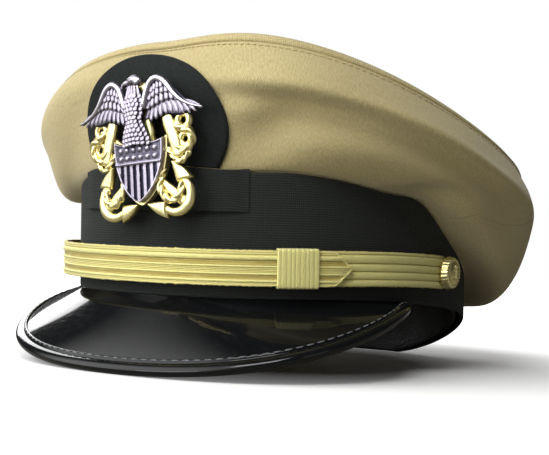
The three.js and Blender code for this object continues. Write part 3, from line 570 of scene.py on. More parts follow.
def gold_lace():
    """Lace of gilt thread: slanted wraps of thread on every cord. A value on each point is 1 on the
    crests of the cords and 0 in the channels between them, which get a painted shade, browner and
    duller."""
    f = Finish("gold_lace", Metallic=0.3, Sheen_Weight=0.25)
    u, v, _ = f.split(f.uv)
    wraps = f.wave(f.math("MULTIPLY_ADD", v, 0.6, u), 0.00058)
    counter = f.wave(f.math("MULTIPLY_ADD", v, -0.9, u), 0.0011)
    fuzz = f.noise(f.object, 0.0006, 3.0, 0.7)
    patch = f.noise(f.object, 0.009, 2.0)
    thread = f.math("MULTIPLY_ADD", wraps, 0.6, f.math("MULTIPLY", counter, 0.25))
    thread = f.math("MULTIPLY_ADD", fuzz, 0.5, thread)
    low = f.blend(thread, rgb(0.22, 0.14, 0.01), rgb(0.50, 0.37, 0.05))
    high = f.blend(f.level(thread, 0.3, 1.1), rgb(0.80, 0.71, 0.20), rgb(0.99, 0.97, 0.46))
    # Painted shade: the darker, browner colour goes in the channels between the cords.
    base = f.blend(f.level(f.tint, 0.15, 0.75), low, high)
    base = f.blend(f.level(patch, 0.45, 0.7, 0.0, 0.25), base, rgb(0.85, 0.75, 0.30))
    return f.done(base, f.level(thread, 0.3, 1.1, 0.55, 0.38), (thread, 0.00016), (fuzz, 0.0001))


def gilt_metal():
    """Gilding: full gilt colour on the crests, and a painted shade, deeper and redder, in the
    hollows.
    """
    f = Finish("gilt_metal", Metallic=1.0)
    spots = f.noise(f.object, 0.0022, 3.0)
    scratch = f.noise(f.stretch(f.object, (1.0, 1.0, 4.0)), 0.0007, 3.0)
    # Painted shade: the hollows of the relief take the deeper, redder colour.
    base = f.blend(f.level(f.tint, 0.0, 0.6), rgb(0.40, 0.26, 0.035), rgb(0.97, 0.86, 0.42))
    base = f.blend(f.level(spots, 0.5, 0.75, 0.0, 0.4), base, rgb(0.99, 0.93, 0.62))
    return f.done(base, f.level(scratch, 0.3, 0.7, 0.28, 0.42),
                  (spots, 0.00012), (scratch, 0.00002))


def silver_metal():
    """Silver: a painted highlight on the highest crests, and blue-black oxide left in the hollows.
    """
    f = Finish("silver_metal", Metallic=1.0)
    spots = f.noise(f.object, 0.0015, 3.0)
    scratch = f.noise(f.stretch(f.object, (1.0, 1.0, 4.0)), 0.0006, 3.0)
    crest = f.math("MULTIPLY_ADD", spots, 0.25, f.math("SUBTRACT", f.tint, 0.12))
    base = f.blend(f.level(crest, 0.06, 0.46), rgb(0.03, 0.03, 0.05), rgb(0.40, 0.37, 0.45))
    # Painted highlight: the highest crests, such as the wings' leading edges, the shield's rim and
    # bosses and the brow, go pale.
    base = f.blend(f.level(crest, 0.95, 1.25), base, rgb(0.80, 0.78, 0.86))
    return f.done(base, f.level(scratch, 0.3, 0.7, 0.3, 0.45), (spots, 0.0001), (scratch, 0.00002))


def waxed_thread():
    """Waxed thread: twisted along its length, grey where the wax catches light."""
    f = Finish("waxed_thread")
    twist = f.noise(f.object, 0.0008, 2.0)
    base = f.blend(f.level(twist, 0.3, 0.7), rgb(0.06, 0.065, 0.07), rgb(0.17, 0.18, 0.19))
    return f.done(base, 0.5, (twist, 0.0001))


TWILL = khaki_twill()
BRAID = black_braid()
FELT = black_felt()
PATENT = patent_leather("patent_leather", 0.00001)
BINDING = patent_leather("binding_leather", 0.00003)
LEATHER = grained_leather()
LACE = gold_lace()
GILT = gilt_metal()
SILVER = silver_metal()
THREAD = waxed_thread()

# ---------------------------------------------------------------- band and lining

ROUND = np.linspace(-np.pi, np.pi, 361)


def cap_band():
    """Closed strip round the whole head between the rim and the top edge."""
    loops = strip(ROUND, 0.0, BAND_THICKNESS, rim_height, top_height)
    mesh_object("cap_band", [(loops, cloth_uv(loops), 0.5)], BRAID)


def band_overlay():
    """Second layer across the upper front, thinned towards its turned ends."""
    angles = np.linspace(-OVERLAY_HALF_ANGLE, OVERLAY_HALF_ANGLE, 140)
    left = (OVERLAY_HALF_ANGLE - np.abs(angles)) * BAND_HALF_LENGTH
    thickness = OVERLAY_THICKNESS * (0.15 + 0.85 * smooth(left / OVERLAY_TAPER))
    loops = pinch(strip(angles, CLEARANCE + thickness, thickness, lambda a: OVERLAY_BOTTOM + 0 * a,
                        lambda a: top_height(a) + OVERLAY_RISE, 20))
    mesh_object("band_overlay", [(loops, cloth_uv(loops), 0.5)], BRAID)


def sweatband():
    """Closed leather strip inside the band."""
    loops = strip(ROUND, -(BAND_THICKNESS + SWEATBAND_GAP + 2 * CLEARANCE), SWEATBAND_THICKNESS,
                  lambda a: rim_height(a) + 1,
                  lambda a: np.minimum(rim_height(a) + SWEATBAND_HEIGHT, top_height(a) + 4), 12)
    mesh_object("sweatband", [(loops, cloth_uv(loops), 0.5)], LEATHER)


# ---------------------------------------------------------------- crown

PROFILE_KNOTS = [0.0, 0.22, 1.0, 2.0, 3.0, 4.0]
# Rows of the crown's side, from just inside the hem to just under the top seam.
CROWN_ROWS = np.concatenate([np.linspace(-1, 0, 4)[:-1], np.linspace(0, 0.3, 8)[:-1],
                             np.linspace(0.3, 3.8, 62)[:-1], np.linspace(3.8, 4, 10)])
CROWN_RADIUS = 115.0
CLOTH_RADIUS = 112.0
RIGHT_SAG = 6.0
# Folds over the band: depth, angle, slant and the row it starts from, half width, middle row
# and reach along the profile.
SHORT_FOLDS = [
    (-2.2, 76, 10, 0.7, 5.5, 0.8, 0.5),
    (1.2, 88, 10, 0.7, 6.5, 0.8, 0.5),
    (-1.3, -74, -8, 0.6, 6.0, 0.6, 0.42),
    (-1.0, 150, 0, 0.0, 8.0, 0.7, 0.5),
    (-1.0, -150, 0, 0.0, 8.0, 0.7, 0.5),
]


def crown_section(angle, t):
    """Outer profile of the crown's side at t, 0 just inside the band's edge to 4 at the top
    seam: a free-ended spline through the section table's rows."""
    top = top_height(angle)
    outs = [-(BAND_THICKNESS + CLEARANCE) + 0 * top, around("lip_out", angle)]
    ups = [top + 0.4, top + 0.9]
    for row in ["belly", "wide", "brim", "seam"]:
        outs.append(around(row + "_out", angle))
        ups.append(around(row + "_up", angle) + lean(angle))
    ups[2] = ups[2] - RIGHT_SAG * ridge(np.degrees(angle) + 62, 17)
    ups[-1] = seam_height(angle)
    weights = spline_weights(PROFILE_KNOTS, t, False)
    return (np.stack(outs, -1) * weights).sum(-1), (np.stack(ups, -1) * weights).sum(-1)


def crown_point(angle, t):
    """Point of the crown's side; t below 0 runs straight down into the hem."""
    turn = np.where(angle > np.pi, angle - 2 * np.pi, angle)
    turn, t = np.broadcast_arrays(turn, t)
    out, up = crown_section(turn, np.maximum(t, 0))
    return head_point(turn, out, up + np.minimum(t, 0) * CROWN_HEM_DEPTH)


def seam_angle(t):
    """Angle of the side seam at a height on the profile."""
    return np.interp(t, [-1.0] + PROFILE_KNOTS, SIDE_SEAM)


def crown_folds(angle, t):
    """Height of the cloth over the plain form: slow swells from a few sines of the angle, the
    pull between the stiff front and the soft side, a hollow under a crisp brim at the side,
    and short folds over the band."""
    a = np.degrees(angle)
    swell = 0.5 * np.sin(5 * angle + 1.1 * t) * np.sin(1.9 * t + 0.7)
    swell += 0.35 * np.sin(11 * angle - 2.3 * t + 1.0)
    lift = swell * smooth(t / 1.2) * smooth((4 - t) / 0.8)
    pull = ridge(a - 36 - 2.5 * (t - 2), 7) * smooth(t - 0.3) * smooth((3.2 - t) / 1.2)
    hollow = ridge(t - 1.8, 0.55) * smooth((a - 28) / 14) * smooth((112 - a) / 18)
    crisp = 1.2 * ridge(t - 2.92, 0.22) - 2.0 * ridge(t - 2.4, 0.32)
    lift = lift - 2.3 * pull - 3.6 * hollow
    lift = lift + crisp * smooth((a - 8) / 25) * smooth((106 - a) / 22)
    for depth, middle, slant, start, width, row, reach in SHORT_FOLDS:
        lift = lift + depth * ridge(a - middle - slant * (t - start), width) * ridge(t - row, reach)
    return lift


def crown_part(name, low, high, columns):
    """Part of the crown's side between its two side seams: the profile at each angle, lifted by
    the folds, dipped and puckered along its seams, with an even thickness behind it."""
    share = np.linspace(0, 1, columns)
    share = share - 0.35 * np.sin(2 * np.pi * share) / (2 * np.pi)
    angle = low + (high - low) * share[:, None]
    points = crown_point(angle, CROWN_ROWS[None])
    normal = normals(points)
    run = lengths(points, 1)
    seam = np.minimum(angle - low, high - angle) * CROWN_RADIUS
    top = run[:, -1:] - run
    lift = crown_folds(np.where(angle > np.pi, angle - 2 * np.pi, angle), CROWN_ROWS)
    lift = lift - 0.25 * ridge(seam, 0.5) + 0.08 * ridge(seam - 1.7, 0.9)
    lift = lift - 0.15 * ridge(top, 0.6) + 0.05 * ridge(top - 1.6, 1.0)
    outer = points + normal * lift[..., None]
    inner = points + normal * (lift - CROWN_THICKNESS)[..., None]
    loops, uv = closed_plate(outer, inner, MM * np.stack([angle * CLOTH_RADIUS, run], -1))
    mesh_object(name, [(loops, uv, 0.5)], TWILL)


def crown_sides():
    """The two parts of the crown's side, a hair apart at the side seams."""
    seam = seam_angle(CROWN_ROWS)
    crown_part("crown_front", SEAM_GAP - seam, seam - SEAM_GAP, 270)
    crown_part("crown_back", seam + SEAM_GAP, 2 * np.pi - seam - SEAM_GAP, 180)


TOP_PROFILE = [(0.3, -0.6), (-0.1, 0.1), (0.3, 1.0), (1.1, 1.9), (2.3, 2.6), (4.0, 3.0)]


def top_edge(angle, back, rise):
    """Point on the rolled edge of the top panel."""
    return head_point(angle, around("seam_out", angle) - back, seam_height(angle) + rise)


def crown_top():
    """Top panel: a rolled edge by a spline over its profile, then rings that shrink to the
    middle, whose height goes from the edge's own to a shallow dish with the square of the
    ring's share."""
    roll = curve(TOP_PROFILE, 21)
    angle = ROUND[:, None]
    edge = top_edge(angle, roll[:, 0], roll[:, 1])
    x, y, z = np.moveaxis(edge[:, -1:], -1, 0)
    front, rear = top_edge(np.array([0, np.pi]), *TOP_PROFILE[-1])
    slope = (rear[2] - front[2]) / (rear[1] - front[1])
    def level(y):
        # A straight line from the front's height to the rear's.
        return front[2] + (y - front[1]) * slope
    share = np.linspace(1, 0, 40)[1:]
    dish = (z - level(y)) * share**2 - TOP_SINK * (1 - share**2)
    ripple = 4 * TOP_RIPPLE * np.sin(3 * angle + 9 * share) * share**2 * (1 - share)
    panel = stack(x * share, y * share, level(y * share) + dish + ripple)
    outer = np.concatenate([edge, panel], axis=1)
    n = normals(outer)
    n = np.where(n[..., 2:] < -0.2, -n, n)
    n[:, -1] = [0, 0, 1]
    n[-1] = n[0]
    loops = fold_back(outer, outer - n * CROWN_THICKNESS)
    mesh_object("crown_top", [(loops, MM * loops[..., :2], 0.5)], TWILL)


def capsules(starts, ends, lifts, radius):
    """Small rounded threads from start to end: half-circle ends, an oval section flattened
    along 'lift'. Arrays of points give many threads at once."""
    along = ends - starts
    length = np.linalg.norm(along, axis=-1, keepdims=True)
    axis = along / length
    lift = unit(lifts - axis * (lifts * axis).sum(-1, keepdims=True))
    side = np.cross(axis, lift)
    turn = np.linspace(0, 2 * np.pi, 9)
    bow = np.linspace(-np.pi / 2, np.pi / 2, 7)[:, None]
    middle = ((starts + ends) / 2)[:, None, None]
    core = middle + axis[:, None, None] * ((length / 2)[:, None] * np.sin(bow))[..., None]
    ring = radius * np.sqrt(np.maximum(np.cos(bow), 0))
    return (core + side[:, None, None] * (ring * np.cos(turn))[..., None]
            + lift[:, None, None] * (ring * THREAD_FLATNESS * np.sin(turn))[..., None])


def topstitch():
    """Row of stitches on the crown's side, a little below the seam of the top panel."""
    angle = np.linspace(-np.pi, np.pi, TOPSTITCH_COUNT, endpoint=False)
    half = TOPSTITCH_FILL * (angle[1] - angle[0])
    def on_cloth(a, t):
        # The angle is brought back to within half a turn of the front.
        a = (a + np.pi) % (2 * np.pi) - np.pi
        return crown_point(a, np.full_like(a, t))
    starts, ends = on_cloth(angle - half, TOPSTITCH_ROW), on_cloth(angle + half, TOPSTITCH_ROW)
    upward = on_cloth(angle, TOPSTITCH_ROW + 0.03) - on_cloth(angle, TOPSTITCH_ROW)
    lifts = unit(np.cross(ends - starts, upward))
    lifts = np.where((lifts * outward(angle)).sum(-1, keepdims=True) < 0, -lifts, lifts)
    shift = lifts * TOPSTITCH_RADIUS
    threads = capsules(starts + shift, ends + shift, lifts, TOPSTITCH_RADIUS)
    mesh_object("crown_topstitch", [(threads, None, 0.5)], TWILL)


# ---------------------------------------------------------------- patch behind the badge

def crown_front_out(x, up):
    """Angle and stand-out of the crown's front at sideways distances and heights: the angle is
    moved until the point's x fits, with the profile read at the given height."""
    angle = np.arcsin(x / BAND_HALF_WIDTH)
    t_grid = np.linspace(PROFILE_KNOTS[1], PROFILE_KNOTS[-1], 60)
    for _ in range(6):
        outs, ups = crown_section(angle[..., None] + 0 * t_grid, t_grid)
        order = np.clip((ups < up[..., None]).sum(-1) - 1, 0, len(t_grid) - 2)[..., None]
        low_up, high_up, low_out, high_out = (
            np.take_along_axis(table, order + step, -1)[..., 0]
            for table in (ups, outs) for step in (0, 1))
        share = np.clip((up - low_up) / (high_up - low_up), 0, 1)
        stand = low_out + share * (high_out - low_out)
        angle = angle + (x - head_point(angle, stand, up)[..., 0]) / BAND_HALF_WIDTH
    return angle, stand


def badge_patch():
    """Half-round felt patch: rings of its outline shrinking to the middle, laid on the crown's
    front and rounded over at the edge."""
    turn = np.linspace(-np.pi, np.pi, 181)[:, None]
    share = np.concatenate([np.linspace(1, 0.9, 8)[:-1], np.linspace(0.9, 0, 26)]) + 0 * turn
    knots = np.arange(len(PATCH_RADII))
    radius = spline_weights(knots, (turn + np.pi) / SECTION_STEP, True) @ np.array(PATCH_RADII)
    x = PATCH_CENTRE_SHIFT + radius * np.sin(turn) * share
    foot = top_height(np.arcsin(x / BAND_HALF_WIDTH)) + OVERLAY_RISE + CLEARANCE
    up = PATCH_CENTRE_HEIGHT + radius * np.cos(turn) * share
    up = np.maximum(up, foot + (1 - share) * PATCH_FOOT_ROOM)
    angle, stand = crown_front_out(x, up)
    base = head_point(angle, stand, up)
    n = unit(outward(angle) + np.array([0, 0, 0.12]))
    over = np.clip((share - PATCH_FLAT) / (1 - PATCH_FLAT), 0, 1)
    outer = base + n * (PATCH_STAND + PATCH_THICKNESS * arc(1 - over**2))[..., None]
    loops = fold_back(outer, base + n * PATCH_STAND)
    mesh_object("badge_patch", [(loops, None, 0.5)], FELT)


# ---------------------------------------------------------------- peak

def peak_reach(share):
    """Reach of the peak from the band, a rounded bow over its half angle."""
    bow = np.clip(1 - np.abs(share) ** PEAK_TAPER, 0, 1)
    return PEAK_REACH * bow**PEAK_CORNER


def peak_point(share, across):
    """Upper face of the peak: straight down at its drop angle with a shallow bulge."""
    angle = share * PEAK_HALF_ANGLE
    reach = peak_reach(share)
    drop = PEAK_DROP_FRONT + (PEAK_DROP_SIDE - PEAK_DROP_FRONT) * share**2
    bulge = PEAK_BULGE * (reach / PEAK_REACH) * across * (1 - across**3)
    out = reach * across * np.cos(drop) + bulge * np.sin(drop)
    down = reach * across * np.sin(drop) - bulge * np.cos(drop)
    return head_point(angle, out, rim_height(angle) - CLEARANCE - down)


def peak():
    """Glossy leather: the upper face, and the same face set back by its thickness."""
    share = np.linspace(-PEAK_END, PEAK_END, 261)[:, None]
    angle = share * PEAK_HALF_ANGLE
    def tuck(places):
        # Points out from the band and up from its lower edge.
        return [head_point(angle, out, rim_height(angle) + up) for out, up in places]
    face = peak_point(share, np.linspace(0, 1, 61))
    n = normals(face)
    under = face - np.where(n[..., 2:] < 0, -n, n) * PEAK_THICKNESS
    outer = np.concatenate(tuck([(-1.3, 2.0), (-0.9, 1.0), (-0.5, 0.2)]) + [face], axis=1)
    inner = np.concatenate(tuck([(-1.7, 2.0), (-1.7, 0.4), (-1.6, -1.4)]) + [under], axis=1)
    loops = pinch(fold_back(outer, inner))
    mesh_object("peak", [(loops, cloth_uv(loops), 0.5)], PATENT)


BINDING_PROFILE = [
    (-5.7, 0.12), (-5.6, 0.62), (-5.1, 0.8), (-4.5, 0.72), (-3.9, 0.5), (-3.3, 0.62),
    (-2.4, 1.12), (-1.2, 1.42), (0.0, 1.32), (0.95, 0.75), (1.4, -0.3), (1.35, -1.6),
    (0.9, -2.55), (0.0, -3.1), (-1.6, -3.2), (-4.4, -3.0), (-5.6, -2.75), (-5.7, -2.0),
    (-3.0, -2.0), (0.4, -2.0), (0.45, -0.9), (0.4, 0.2), (-3.0, 0.15), (-5.7, 0.12),
]


def edge_frame(share):
    """Place of the peak's edge, its outward direction and the face's upward direction."""
    origin = peak_point(share, 1.0)
    out = unit(origin - peak_point(share, 0.92))
    along = peak_point(share + 0.004, 1.0) - peak_point(share - 0.004, 1.0)
    up = unit(np.cross(out, along))
    return origin, out, np.where(up[..., 2:] < 0, -up, up)


def on_binding(share, x, y):
    """Point at x out and y up from the peak's edge, drawn in near the corners of the peak."""
    origin, out, up = edge_frame(share)
    room = np.minimum(1, peak_reach(share) / 9)
    return origin + out * (x * np.where(x < 0, room, 1))[..., None] + up * y[..., None]


def peak_binding():
    """Folded binding: its section carried along the edge of the peak, smoothed by a spline."""
    section = curve(BINDING_PROFILE, 93)
    section[-1] = section[0]
    share = np.linspace(-BINDING_END, BINDING_END, 301)[:, None] + 0 * section[:, 0]
    loops = pinch(on_binding(share, section[:, 0] + 0 * share, section[:, 1] + 0 * share),
                  to_line=False)
    mesh_object("peak_binding", [(loops, cloth_uv(loops), 0.5)], BINDING)


def binding_stitches():
    """Even stitches along the inner edge of the binding, spaced by distance along it."""
    share = np.linspace(-STITCHES_END, STITCHES_END, 1201)
    x, y = STITCH_PLACE
    line = on_binding(share, np.full_like(share, x), np.full_like(share, y))
    run = along_path(line)
    count = int(run[-1] / STITCH_PITCH)
    centre = (np.arange(count) + 0.5) * run[-1] / count
    lifts = edge_frame(np.interp(centre, run, share))[2]
    threads = capsules(at_distance(centre - STITCH_HALF_LENGTH, run, line),
                       at_distance(centre + STITCH_HALF_LENGTH, run, line), lifts, STITCH_RADIUS)
    mesh_object("binding_stitches", [(threads, None, 0.9)], THREAD)


# ---------------------------------------------------------------- chin strap

# Cords across the long strap: middle, half width and height in mm, from its upper edge.
LONG_CORDS = [
    (0.55, 0.6, 0.55), (1.45, 0.5, 0.5), (3.15, 1.2, 0.95), (4.75, 0.35, 0.3),
    (5.35, 0.3, 0.22), (5.95, 0.35, 0.3), (6.85, 0.55, 0.8), (7.7, 0.35, 0.55),
    (8.4, 0.35, 0.55), (9.1, 0.35, 0.55), (9.95, 0.55, 0.8), (10.8, 0.35, 0.3),
    (11.4, 0.3, 0.22), (12.0, 0.35, 0.3), (12.95, 0.75, 0.9), (13.95, 0.5, 0.5),
    (14.7, 0.55, 0.55),
]
SHORT_CORDS = [
    (0.65, 0.7, 0.5), (3.2, 1.95, 0.75), (6.95, 1.75, 0.7), (10.35, 1.7, 0.7), (13.6, 1.6, 0.65),
]


def corded(depth, cords):
    """Height over the strap's base of the highest cord at a distance from the upper edge, each
    cord a half ellipse, and the same as a share of a full cord."""
    middle, half, height = np.array(cords).T
    shape = arc(1 - ((depth[..., None] - middle) / half) ** 2)
    return (shape * height).max(-1), (shape * np.clip(height / FULL_CORD, 0, 1)).max(-1)


def lace_strap(name, angles, sink, half_width, cords, border):
    """Lace strap: its cords as half ellipses over a flat base, cut by the strap's outline and
    edged by a border cord where the outline is cut. Slanted beads and a frayed edge roughen it."""
    s = np.linspace(1, -1, 108)
    a = angles[:, None]
    width = half_width(angles)[:, None]
    y = s * width
    depth = STRAP_WIDTH / 2 - y
    lift, share = corded(depth, cords)
    if border:
        near = corded(width - np.abs(y), [BORDER_CORD])
        cut = width < STRAP_WIDTH / 2 - CUT_MARGIN
        lift = np.where(cut, np.maximum(lift, near[0]), lift)
        share = np.where(cut, np.maximum(share, near[1]), share)
    bead = 1 + 0.12 * np.sin(depth * 9 - a * 279)
    bead = bead + 0.05 * RNG.standard_normal(lift.shape)
    fray = 0.14 * RNG.standard_normal((len(angles), 1)) * np.abs(s) ** 24
    face = around("strap_out", a) - sink
    middle = around("strap_up", a)
    outer = head_point(a, face - CORD_DEPTH + lift * bead, middle + y + fray * s)
    inner = head_point(a, face - STRAP_THICKNESS + 0 * lift, middle + y)
    # The crest share sets the lace's painted shade in the channels; the inner face takes a fixed
    # darker value.
    loops, tint = closed_plate(outer, inner, share, 0.3 + 0 * share)
    mesh_object(name, [(loops, cloth_uv(loops), tint)], LACE)


STRAP_END = BUTTON_ANGLE + 5 / BAND_HALF_WIDTH


def rounded_end(angle, end):
    """Share of the full width near a rounded end, a quarter circle."""
    left = np.clip(np.abs(end - angle) * BAND_HALF_WIDTH / 8, 0.02, 1)
    return np.sqrt(1 - (1 - left) ** 2)


def chin_strap():
    """The long strap, cut to a point, and the short one that runs under it."""
    def long_half(angle):
        # Falls evenly to the tip at one end, and is rounded at the other.
        left = (STRAP_TIP_ANGLE - angle) * BAND_HALF_WIDTH
        tip = np.clip(left / STRAP_TIP_LENGTH, 0.03, 1)
        return STRAP_WIDTH / 2 * np.minimum(tip, rounded_end(angle, -STRAP_END))
    def short_half(angle):
        return STRAP_WIDTH / 2 * rounded_end(angle, STRAP_END)
    long_angles = np.linspace(-STRAP_END, STRAP_TIP_ANGLE, 350)
    lace_strap("chin_strap_long", long_angles, 0.0, long_half, LONG_CORDS, True)
    short_angles = np.linspace(STRAP_UNDERLAP_ANGLE, STRAP_END, 160)
    lace_strap("chin_strap_short", short_angles, STRAP_THICKNESS + CLEARANCE, short_half,
               SHORT_CORDS, False)


def strap_slide():
    """Keeper: a rounded box section round both straps, with upright cords as half ellipses
    along its length."""
    u = np.linspace(0, 1, 121)
    phase = (u * SLIDE_CORDS + 0.12 * np.sin(17 * u)) % 1
    bump = arc(1 - (2 * phase - 1) ** 2)
    edge = arc(1 - np.clip(1 - np.minimum(u, 1 - u) / 0.03, 0, 1) ** 2)
    angle = (SLIDE_FROM + (SLIDE_TO - SLIDE_FROM) * u)[:, None]
    turn = np.linspace(0, 2 * np.pi, 97)
    c, s = np.cos(turn), np.sin(turn)
    half_depth = (2 * STRAP_THICKNESS + CLEARANCE) / 2
    def ring(margin):
        # A super-ellipse round both straps, a margin outside them.
        margin = margin[:, None]
        out = (half_depth + margin) * np.sign(c) * np.abs(c) ** (SLIDE_SQUARENESS * 2.4)
        up = (STRAP_WIDTH / 2 + margin) * np.sign(s) * np.abs(s) ** SLIDE_SQUARENESS
        return head_point(angle, around("strap_out", angle) - half_depth + out,
                          around("strap_up", angle) + up).swapaxes(0, 1)
    outer = ring(CLEARANCE + SLIDE_WALL * edge + SLIDE_CORD_RISE * bump * edge)
    grid = fold_back(outer, ring(CLEARANCE + 0 * u))
    # Painted shade between the keeper's cords: lower values in the grooves, higher on the cords.
    share = 0.6 + 0.4 * bump
    tint = np.broadcast_to(np.concatenate([share, share[::-1], share[:1]]), grid.shape[:2])
    mesh_object("strap_slide", [(grid, cloth_uv(grid), tint)], LACE)


def button_relief(x, y):
    """Height of the button's face: a small plain anchor, each stroke a bell curve of the
    distance from it."""
    def stroke(x0, y0, x1, y1, half):
        dx, dy = x1 - x0, y1 - y0
        t = np.clip(((x - x0) * dx + (y - y0) * dy) / (dx * dx + dy * dy), 0, 1)
        return ridge(np.hypot(x - x0 - t * dx, y - y0 - t * dy), half)
    shank = stroke(0, -2.6, 0, 2.2, 0.42)
    stock = stroke(-1.6, 1.5, 1.6, 1.5, 0.36)
    arms = ridge(np.hypot(x, y + 0.1) - 2.7, 0.4) * (y < -0.9) * smooth((-0.6 - y) / 0.8)
    eye = ridge(np.hypot(x, y - 2.95) - 0.7, 0.28)
    return 0.7 * np.maximum(np.maximum(shank, stock), np.maximum(arms, eye))


def strap_button(name, angle):
    """Domed button turned about its axis: relief on the dome, a twisted rope at the rim, a flat
    back and a shank."""
    angle = np.array(angle)
    undermost = STRAP_THICKNESS + CLEARANCE if angle > 0 else 0.0
    face = float(around("strap_out", angle)) - undermost + CLEARANCE
    turn = np.linspace(0, 2 * np.pi, 145)[:, None]
    r = np.concatenate([np.linspace(0, ROPE_FROM, 44)[:-1],
                        np.linspace(ROPE_FROM, BUTTON_RADIUS, 26)])
    dome = face + 2.2 + 3.0 * arc(1 - (r / 8.2) ** 2) - 0.5 * (r > ROPE_FROM)
    rope = smooth((r - 5.5) / 0.4) * arc(1 - ((r - ROPE_MIDDLE) / 1.15) ** 2)
    twist = 0.5 + 0.5 * np.cos(26 * turn + 2.3 * (r - ROPE_MIDDLE))
    relief = button_relief(r * np.sin(turn), r * np.cos(turn)) * (r < 5.4)
    lift = relief + rope * (0.55 + 0.5 * twist)
    front = dome - 2.0 * smooth((r - 6.9) / 0.6) + lift
    reach = r + 0.18 * twist * smooth((r - 6.8) / 0.5)
    back_r = [BUTTON_RADIUS - 0.1, BUTTON_RADIUS - 0.5, BUTTON_RADIUS - 1.2,
              SHANK_RADIUS + 0.4, SHANK_RADIUS, SHANK_RADIUS, 0.0]
    back_h = [face + 1.2, face + 0.4, face, face, face - 0.3, CLEARANCE, CLEARANCE]
    none = 0 * turn
    radius = np.concatenate([reach, none + back_r], axis=1)
    height = np.concatenate([front, none + back_h], axis=1)
    # Painted shade: the gilt is darker where the relief and rope are low, full colour on their
    # crests.
    tint = np.concatenate([np.clip(0.45 + lift * 0.9, 0, 1), none + [0.5] * len(back_r)], axis=1)
    axis = outward(angle)
    side = np.array([-axis[1], axis[0], 0])
    seat = head_point(angle, 0.0, around("strap_up", angle))
    points = (seat + axis * height[..., None] + side * (radius * np.sin(turn))[..., None]
              + UPWARD * (radius * np.cos(turn))[..., None])
    mesh_object(name, [(points, None, tint)], GILT)


# ---------------------------------------------------------------- badge

def place_badge(points):
    """From the flat badge (x, y, height) to the front of the cap: bent back by half of x squared
    over the bend radius and by its lean, tilted about the front axis and set on the overlay."""
    x, y, z = points[..., 0], points[..., 1], points[..., 2]
    back = x**2 / (2 * BADGE_BEND) + BADGE_LEAN * y
    c, s = np.cos(BADGE_TILT), np.sin(BADGE_TILT)
    front = head_point(np.array(0.0), CLEARANCE + OVERLAY_THICKNESS, 0.0)[1]
    return stack(x * c + y * s + BADGE_SHIFT, front - z + back, -x * s + y * c + BADGE_HEIGHT)


def mirrored(points):
    """The same points on the badge's other side: x changes its sign."""
    return points * np.array([-1.0, 1.0, 1.0])


def bars(paths, half_widths, heights, level, power, groove=0.0, floor=0.0):
    """Rounded bars or feathers lying on the badge: along each path a section whose half width
    and height are given, a super-ellipse above and a flatter one below, with an optional
    crease along the middle. Paths are (N, U, 2)."""
    tangent = unit(np.gradient(paths, axis=1))
    side = np.stack([-tangent[..., 1], tangent[..., 0]], -1)[:, :, None]
    turn = np.linspace(0, 2 * np.pi, 17)
    c, s = np.cos(turn), np.sin(turn)
    across = np.sign(c) * np.abs(c) ** (2 / power)
    above = np.where(s > 0, np.abs(s) ** (2 / power), -0.45 * np.abs(s))
    crease = 1 - groove * ridge(across, 0.22) * (s > 0)
    flat = paths[:, :, None] + side * (half_widths[..., None] * across)[..., None]
    z = level[..., None] + heights[..., None] * above * crease
    # The crest value, highest on top of the section, drives the gilt's painted shade and the
    # silver's oxide and painted highlight; floor lifts it.
    crest = np.clip(np.where(s > 0, above, 0) * crease, 0, 1) + 0 * z
    return np.concatenate([flat, z[..., None]], -1), crest + floor


def bar(path, width, height, level, power=2.0, floor=0.0):
    """One rounded bar along a path; each measure is a number or one value for each point."""
    measures = [np.broadcast_to(value, (1, len(path))) for value in (width, height, level)]
    return bars(path[None], *measures, power, floor=floor)


def rounded(count, reach):
    """Share of full width along a bar that is rounded off over 'reach' at either end."""
    t = np.linspace(0, 1, count)
    return arc(np.minimum(t, 1 - t) / reach)


def feather_shape(t):
    """Share of full width along a feather: narrow root, full middle, rounded tip."""
    return arc(t / 0.08) * (0.55 + 0.45 * smooth(t / 0.6)) * arc((1 - t) / 0.16)


def fan(roots, tips, bow, half_width, height, level, lift, groove=0.35):
    """Row of feathers from roots to tips: each one bows sideways by half a sine and rises from
    its root to its tip."""
    t = np.linspace(0, 1, 12)
    roots, tips = np.asarray(roots)[:, None], np.asarray(tips)[:, None]
    run = tips - roots
    side = np.concatenate([-run[..., 1:], run[..., :1]], -1)
    paths = roots + run * t[:, None] + side * bow * np.sin(np.pi * t)[:, None]
    half_width, height, level = (np.broadcast_to(value, len(roots))[:, None]
                                 for value in (half_width, height, level))
    shape = feather_shape(t)
    return bars(paths, half_width * shape, height * np.maximum(shape, 0.12),
                level + lift * t, 1.7, groove)


LEADING_EDGE = [(4.9, 15.0), (5.4, 18.0), (6.9, 22.6), (8.6, 26.0), (10.8, 27.6), (13.3, 27.6),
                (16.4, 25.5), (19.7, 21.1), (24.2, 16.8), (29.4, 14.3), (34.0, 13.0)]
WING_WEB = [(3.5, 12.5), (8.0, 16.5), (13.5, 18.6), (20.5, 15.6), (29.0, 13.2)]
